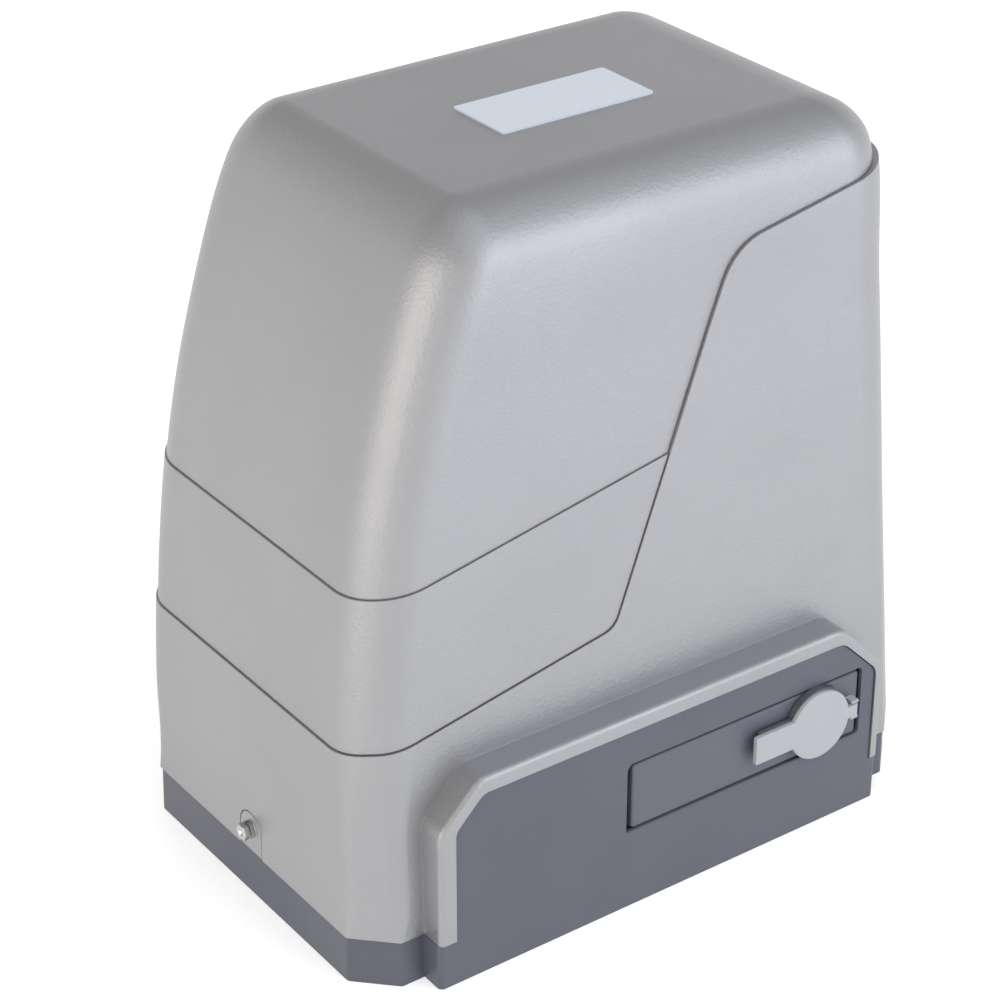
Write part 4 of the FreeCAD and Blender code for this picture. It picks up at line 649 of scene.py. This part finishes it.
@dataclass
class SideFixings:
    """The two hexagon screws that hold the cover, with their spring and flat washers."""

    across: float = 7.0 * MM
    head: float = 2.8 * MM
    chamfer: float = 0.55 * MM
    chamfer_steps: int = 3
    dimple: float = 1.9 * MM
    shank: float = 2.4 * MM
    shank_long: float = 10.0 * MM
    thread_root: float = 0.84
    pitch: float = 0.8 * MM
    thread_steps: int = 20
    washer_inner: float = 2.7 * MM
    washer_outer: float = 4.7 * MM
    washer_thick: float = 0.95 * MM
    washer_seat: float = 1.0 * MM
    washer_edge: float = 0.25 * MM
    washer_steps: int = 40
    spring_wire: tuple[float, float] = (1.8 * MM, 1.7 * MM)
    spring_radius: float = 3.4 * MM
    spring_rise: float = 0.95 * MM
    spring_lead: float = 0.004 * MM
    spring_turn_deg: float = 352.0
    spring_steps: int = 44
    middle: Vector = field(init=False)
    seat: float = field(init=False)
    washer_top: float = field(init=False)

    def __post_init__(self) -> None:
        """Read the screws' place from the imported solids."""
        self.middle = middle_of("cover_screws")
        self.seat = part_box("cover_screws")[1].x
        self.washer_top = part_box("flat_washers")[1].x

    @property
    def line(self) -> Vector:
        """Give the point where the screws' common axis crosses the middle plane."""
        return Vector((0.0, self.middle.y, self.middle.z))

    def build(self) -> None:
        """Make both sides."""
        kinds = (("side_screws", self.screw, "cover_screws"),
                 ("side_spring_washers", self.spring_washer, "spring_washers"),
                 ("side_flat_washers", self.flat_washer, "flat_washers"))
        for name, make, node in kinds:
            mesh = bmesh.new()
            make(mesh)
            known = set(mesh.verts)
            make(mesh)
            mirrored(mesh, known)
            settle(finished(name, mesh), "base", STAINLESS, (node,))

    def screw(self, mesh: bmesh.types.BMesh) -> None:
        """Add one screw: a chamfered hexagon with a dimple, and a rolled thread."""
        radius = self.across / 2 / math.cos(HEXAGON_HALF_STEP)
        under = self.seat - self.head
        at = Vector((under, self.middle.y, self.middle.z))
        ring = bmesh.ops.create_circle(mesh, segments=6, radius=radius, cap_ends=True,
                                       matrix=Matrix.Translation(at) @ Axis.X.turn())["verts"]
        cap = raised(mesh, [next(iter(ring[0].link_faces))], (self.head, 0, 0))[0]
        rim = list(cap.edges)
        for thickness in (self.across / 2 - self.dimple, self.dimple / 2):
            bmesh.ops.inset_individual(mesh, faces=[cap], thickness=thickness,
                                       use_even_offset=True)
        bmesh.ops.translate(mesh, vec=(-self.dimple / 2, 0, 0), verts=list(cap.verts))
        round_off(mesh, rim, self.chamfer, self.chamfer_steps)
        turns = int(self.shank_long / self.pitch)
        root = self.shank * self.thread_root
        outline = [(0.0, under - turns * self.pitch)]
        for index in range(turns):
            start = under - (turns - index) * self.pitch
            outline += [(root, start), (self.shank, start + self.pitch / 2)]
        outline += [(root, under), (0.0, under)]
        spun(mesh, outline, self.line, Axis.X, self.thread_steps)

    def flat_washer(self, mesh: bmesh.types.BMesh) -> None:
        """Add one flat washer with rolled edges."""
        low = self.washer_top - self.washer_seat
        high = low + self.washer_thick
        inner, outer, edge = self.washer_inner, self.washer_outer, self.washer_edge
        outline = [(inner, low), (outer - edge, low), (outer, low + edge), (outer, high - edge),
                   (outer - edge, high), (inner + edge, high), (inner, high - edge), (inner, low)]
        spun(mesh, outline, self.line, Axis.X, self.washer_steps)

    def spring_washer(self, mesh: bmesh.types.BMesh) -> None:
        """Add one split spring washer: a square wire bent round, its ends a little apart."""
        square = bmesh.ops.create_grid(mesh, x_segments=1, y_segments=1, size=0.5)["verts"]
        place = Matrix.Translation((self.washer_top + self.spring_rise, self.middle.y,
                                    self.middle.z + self.spring_radius))
        shape = (Matrix.Rotation(math.pi / 2, 4, "X")
                 @ Matrix.Diagonal((*self.spring_wire, 1.0, 1.0)))
        bmesh.ops.transform(mesh, matrix=place @ shape, verts=square)
        bmesh.ops.spin(mesh, geom=list({f for v in square for f in v.link_faces}),
                       cent=self.line, axis=(1, 0, 0), dvec=(self.spring_lead, 0, 0),
                       angle=math.radians(self.spring_turn_deg), steps=self.spring_steps,
                       use_merge=False, use_duplicate=False)


@dataclass
class ClutchSpring:
    """The round-wire spring that pushes the dog sleeve home."""

    wire: float = 1.2 * MM
    stroke: float = 6.0 * MM
    turns: int = 4
    steps: int = 40
    sides: int = 12

    def build(self) -> None:
        """Sweep the wire round the helix."""
        low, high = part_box("clutch_spring")
        centre = (low + high) / 2
        radius = (high.x - low.x) / 2 - self.wire
        rise = high.y - low.y - 2 * self.wire
        mesh = bmesh.new()
        start = Vector((centre.x + radius, low.y + self.wire, centre.z))
        ring = bmesh.ops.create_circle(mesh, segments=self.sides, radius=self.wire, cap_ends=True,
                                       matrix=Matrix.Translation(start))["verts"]
        face = next(iter(ring[0].link_faces))
        count = self.turns * self.steps
        bmesh.ops.spin(mesh, geom=[face], cent=(centre.x, 0, centre.z), axis=(0, 1, 0),
                       dvec=(0, rise / count, 0), angle=2 * math.pi * self.turns, steps=count,
                       use_merge=False, use_duplicate=False)
        bmesh.ops.remove_doubles(mesh, verts=mesh.verts, dist=FLAT)
        piece = settle(finished("clutch_spring_wire", mesh), "output", SPRING,
                       ("clutch_spring",))
        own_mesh(piece)


@dataclass
class BoardFittings:
    """What stands on the control board: clamp screws, resistors, chip legs and relay rims."""

    blocks: int = 4
    block_pitch: float = 28.0 * MM
    poles: int = 5
    pole_pitch: float = 4.8 * MM
    first_pole: float = 3.2 * MM
    pole_up: float = 1.5 * MM
    # Radius and height along the clamp screw's head, in millimetres.
    clamp_head: tuple[tuple[float, float], ...] = (
        (0.0, -0.25), (1.5, -0.25), (1.7, 0.0), (1.7, 0.6))
    clamp_steps: int = 20
    slot_half: tuple[float, float, float] = (0.2 * MM, 1.3 * MM, 0.25 * MM)
    slot_edge: float = 0.05 * MM
    resistor_rows: int = 2
    resistors_in_row: int = 6
    resistor_first: tuple[float, float] = (14.0 * MM, 50.0 * MM)
    resistor_pitch: tuple[float, float] = (7.0 * MM, 9.0 * MM)
    resistor_off: float = 1.4 * MM
    # The resistor's outline with its end caps, and the radius and half length of its lead, all
    # in millimetres.
    resistor_body: tuple[tuple[float, float], ...] = (
        (0.0, -3.0), (1.0, -2.9), (1.25, -2.4), (1.0, -1.7), (1.0, 1.7), (1.25, 2.4), (1.0, 2.9),
        (0.0, 3.0))
    resistor_steps: int = 16
    lead_radius: float = 0.3
    lead_half: float = 5.0
    lead_steps: int = 8
    legs_in_row: int = 12
    leg_first: float = 32.2 * MM
    leg_pitch: float = 2.7 * MM
    leg_rows: tuple[tuple[int, float], ...] = ((-1, 16.0 * MM), (1, 24.0 * MM))
    leg_off: float = 1.8 * MM
    leg_out: float = 0.7 * MM
    leg_half: tuple[float, float, float] = (0.2 * MM, 0.8 * MM, 0.4 * MM)
    leg_edge: float = 0.08 * MM
    relay_count: int = 3
    relay_pitch: float = 22.0 * MM
    relay_wide: float = 19.0 * MM
    rim_proud: float = 0.25 * MM
    rim_from_back: tuple[float, float] = (2.6 * MM, 1.6 * MM)
    rim_edge: float = 0.2 * MM
    face: float = field(init=False)
    low: Vector = field(init=False)

    def __post_init__(self) -> None:
        """Read the board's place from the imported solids."""
        self.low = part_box("control_board")[0]
        self.face = self.low.x

    def build(self) -> None:
        """Make every kind of fitting."""
        self.terminal_screws()
        self.resistors()
        self.legs()
        self.relay_rims()

    def terminal_screws(self) -> None:
        """Add the slotted clamp screws of the terminal blocks."""
        low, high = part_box("terminal_blocks")
        half = Vector(self.slot_half)
        mesh = bmesh.new()
        for block in range(self.blocks):
            for pole in range(self.poles):
                y = low.y + self.first_pole + self.pole_pitch * pole + self.block_pitch * block
                at = Vector((low.x, y, (low.z + high.z) / 2 + self.pole_up))
                spun(mesh, in_mm(self.clamp_head), at, Axis.X, self.clamp_steps)
                slot = at - Vector((half.x, 0, 0))
                brick(mesh, slot - half, slot + half, self.slot_edge, segments=1)
        settle(finished("terminal_clamp_screws", mesh), "base", ZINC)

    def resistors(self) -> None:
        """Add two rows of small axial resistors with bent leads."""
        bodies, leads = bmesh.new(), bmesh.new()
        thin, half = self.lead_radius, self.lead_half
        wire = in_mm([(0.0, -half), (thin, -half), (thin, half), (0.0, half)])
        drop = self.resistor_off / MM
        foot = in_mm([(0.0, 0.0), (thin, 0.0), (thin, drop), (0.0, drop)])
        for row in range(self.resistor_rows):
            for index in range(self.resistors_in_row):
                at = Vector((self.face - self.resistor_off,
                             self.low.y + self.resistor_first[0] + self.resistor_pitch[0] * index,
                             self.low.z + self.resistor_first[1] + self.resistor_pitch[1] * row))
                spun(bodies, in_mm(self.resistor_body), at, Axis.Z, self.resistor_steps)
                spun(leads, wire, at, Axis.Z, self.lead_steps)
                for end in (-half, half):
                    spun(leads, foot, at + Vector((0, 0, end * MM)), Axis.X, self.lead_steps)
        settle(finished("board_resistors", bodies), "base", RESISTOR)
        settle(finished("board_leads", leads), "base", ZINC)

    def legs(self) -> None:
        """Add the chip's gull-wing legs on both sides."""
        mesh = bmesh.new()
        half = Vector(self.leg_half)
        for index in range(self.legs_in_row):
            z = self.low.z + self.leg_first + self.leg_pitch * index
            for side, y in self.leg_rows:
                at = Vector((self.face - self.leg_off, y + side * self.leg_out, z))
                brick(mesh, at - half, at + half, self.leg_edge, segments=1)
                down = at + Vector((0.0, side * half.y, 0.0))
                brick(mesh, down - Vector((0.0, half.x, half.z)),
                      down + Vector((self.leg_off, half.x, half.z)), self.leg_edge, segments=1)
        settle(finished("chip_legs", mesh), "base", ZINC)

    def relay_rims(self) -> None:
        """Add the parting rim round each relay's case."""
        low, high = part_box("relays")
        back, front = self.rim_from_back
        mesh = bmesh.new()
        for index in range(self.relay_count):
            y = low.y + self.relay_pitch * index
            brick(mesh, Vector((high.x - back, y - self.rim_proud, low.z - self.rim_proud)),
                  Vector((high.x - front, y + self.relay_wide + self.rim_proud,
                          high.z + self.rim_proud)), self.rim_edge)
        settle(finished("relay_rims", mesh), "base", RELAY)


def merged_copy(piece: bpy.types.Object) -> bmesh.types.BMesh:
    """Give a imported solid's mesh as a bmesh of its own, with its loose triangles joined."""
    mesh = bmesh.new()
    mesh.from_mesh(piece.data)
    bmesh.ops.remove_doubles(mesh, verts=mesh.verts, dist=WELD)
    return mesh


def upright_panel(mesh: bmesh.types.BMesh, low: Vector, high: Vector,
                  radii: tuple[float, ...], segments: int) -> bmesh.types.BMFace:
    """Add a flat rectangle that faces the front, with rounded corners.

    Args:
        mesh: the bmesh that gets it.
        low: its lowest corner, whose Y is the panel's.
        high: its highest corner.
        radii: of the corners low left, low right, high left and high right.
        segments: how many steps each rounding has.

    Returns:
        Its face.
    """
    centre = Vector(((low.x + high.x) / 2, low.y, (low.z + high.z) / 2))
    place = (Matrix.Translation(centre) @ Matrix.Rotation(math.pi / 2, 4, "X")
             @ Matrix.Diagonal((high.x - low.x, high.z - low.z, 1.0, 1.0)))
    known = set(mesh.faces)
    verts = bmesh.ops.create_grid(mesh, x_segments=1, y_segments=1, size=0.5, matrix=place)["verts"]
    for vert in verts:
        radius = radii[int(vert.co.x > centre.x) + 2 * int(vert.co.z > centre.z)]
        round_off(mesh, [vert], radius, segments, "VERTICES")
    return next(face for face in mesh.faces if face not in known)


def lever_left() -> float:
    """Give where the release lever's recess ends on the pivot's side."""
    return middle_of("lever_pin").x - LEVER_PIVOT_INSET


@dataclass
class ReleaseLever:
    """The release lever, with its nose drawn back from the end of its recess."""

    nose_back: float = 2.8 * MM
    top_down: float = 0.7 * MM
    rim: float = 2.3 * MM

    def build(self, nodes: Mapping[str, bpy.types.Object]) -> None:
        """Make the lever from its solid and replace it.

        Args:
            nodes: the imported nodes' objects.
        """
        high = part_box("release_lever")[1]
        pivot_y = middle_of("lever_pin").y
        mesh = merged_copy(nodes["release_lever"])
        for vert in mesh.verts:
            if vert.co.x < lever_left() + self.rim and vert.co.y < pivot_y - self.rim:
                vert.co.x += self.nose_back
            if vert.co.z > high.z - self.rim:
                vert.co.z -= self.top_down
        settle(finished("release_lever_bar", mesh), "lever", LEVER,
               ("release_lever",))


@dataclass
class LeverRecess:
    """The moulded lip round the lever's recess in the panel."""

    gap: float = 1.2 * MM
    left_lip: float = 0.85 * MM
    low_lip: float = 0.75 * MM
    sunk: float = 0.02 * MM
    depth: float = 2.1 * MM
    width: float = 1.6 * MM
    chamfer: float = 0.35 * MM
    chamfer_steps: int = 2
    setback: float = 0.8 * MM
    # Inner radii of the corners low left, low right, high left and high right.
    corner_radii: tuple[float, ...] = (1.0 * MM, 2.2 * MM, 3.6 * MM, 2.6 * MM)
    corner_steps: int = 6

    def build(self) -> None:
        """Make the lip as one ring, let into the panel's own recess."""
        low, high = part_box("release_lever")
        front = low.y - self.setback + self.sunk
        inner_low = Vector((lever_left() - self.gap + self.left_lip, front,
                            low.z - self.gap + self.low_lip))
        inner_high = Vector((high.x + self.gap - self.sunk, front, high.z + self.gap - self.sunk))
        out = Vector((self.width, 0.0, self.width))
        mesh = bmesh.new()
        face = upright_panel(mesh, inner_low - out, inner_high + out,
                             tuple(radius + self.width for radius in self.corner_radii),
                             self.corner_steps)
        ring = bmesh.ops.inset_individual(mesh, faces=[face], thickness=self.width, depth=0.0,
                                          use_even_offset=True)["faces"]
        bmesh.ops.delete(mesh, geom=[face], context="FACES_ONLY")
        raised(mesh, ring, (0, self.depth, 0))
        edge = self.width / 2
        inner = [e for e in mesh.edges if all(
            abs(v.co.y - front) < FLAT
            and inner_low.x - edge < v.co.x < inner_high.x + edge
            and inner_low.z - edge < v.co.z < inner_high.z + edge for v in e.verts)]
        round_off(mesh, inner, self.chamfer, self.chamfer_steps)
        settle(finished("lever_recess_lip", mesh), "base", SLATE)


@dataclass
class LockCap:
    """The skirt behind the lock's round cap and the root of its pull tab."""

    radius: float = 15.9 * MM
    wall: float = 1.6 * MM
    clear: float = 0.35 * MM
    cap_thick: float = 2.15 * MM
    edge: float = 0.3 * MM
    tab: tuple[float, float] = (33.5 * MM, 5.6 * MM)
    tab_short: float = 1.0 * MM
    tab_edge: float = 0.4 * MM
    steps: int = 72

    def build(self) -> None:
        """Make the skirt with its tab rib."""
        plug = middle_of("lock_plug")
        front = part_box("lock_cap")[0].y + self.cap_thick
        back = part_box("release_lever")[0].y - self.clear
        outer, inner, edge = self.radius, self.radius - self.wall, self.edge
        mesh = bmesh.new()
        outline = [(inner, front), (outer, front), (outer, back - edge), (outer - edge, back),
                   (inner + edge, back), (inner, back - edge), (inner, front)]
        spun(mesh, outline, Vector((plug.x, 0, plug.z)), Axis.Y, self.steps)
        reach, half = self.tab
        brick(mesh, Vector((plug.x - reach, front, plug.z - half)),
              Vector((plug.x - outer + self.wall / 2, back - self.tab_short, plug.z + half)),
              self.tab_edge)
        # The skirt and tab rib take painted shade: a dark grey for the shadow under the cap's disc.
        settle(finished("lock_cap_skirt", mesh), "cap", PAINTED_SHADE)


@dataclass
class LugPlates:
    """Arched plate on each of the base's screw lugs, which fills the recess in the cover's wall."""

    radius: float = 8.25 * MM
    low: float = 22.95 * MM
    behind: float = 0.15 * MM
    thick: float = 1.1 * MM
    edge: float = 0.35 * MM
    edge_steps: int = 3
    lug_half: float = 2.8 * MM
    lug_deep: float = 4.0 * MM
    lug_edge: float = 0.3 * MM
    steps: int = 24

    def build(self) -> None:
        """Make both sides."""
        mesh = bmesh.new()
        self.plate(mesh)
        known = set(mesh.verts)
        self.plate(mesh)
        mirrored(mesh, known)
        settle(finished("lug_plates", mesh), "base", SILVER)

    def plate(self, mesh: bmesh.types.BMesh) -> None:
        """Add one plate: straight legs under a half circle round the screw, and the lug behind."""
        middle = middle_of("cover_screws")
        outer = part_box("cover_shell")[1].x - self.behind
        ring = [(middle.y + self.radius, self.low)]
        for step in range(self.steps + 1):
            turn = math.pi * step / self.steps
            ring.append((middle.y + self.radius * math.cos(turn),
                         middle.z + self.radius * math.sin(turn)))
        ring.append((middle.y - self.radius, self.low))
        face = mesh.faces.new([mesh.verts.new((outer - self.thick, y, z)) for y, z in ring])
        front = raised(mesh, [face], (self.thick, 0, 0))[0]
        round_off(mesh, front.edges, self.edge, self.edge_steps)
        brick(mesh, Vector((outer - self.lug_deep, middle.y - self.lug_half, self.low)),
              Vector((outer - self.thick / 2, middle.y + self.lug_half,
                      middle.z - self.lug_half)), self.lug_edge)


def main() -> None:
    """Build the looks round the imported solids."""
    logging.basicConfig(level=logging.INFO, format="%(message)s")
    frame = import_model()
    Studio().build()
    dress_solids(frame)
    ReleaseLever().build(frame["nodes"])
    for part in (LeverRecess(), LockCap(), SideFixings(), LugPlates(), ClutchSpring(),
                 BoardFittings()):
        LOG.info("building %s", type(part).__name__)
        part.build()


if __name__ == "__main__":
    main()
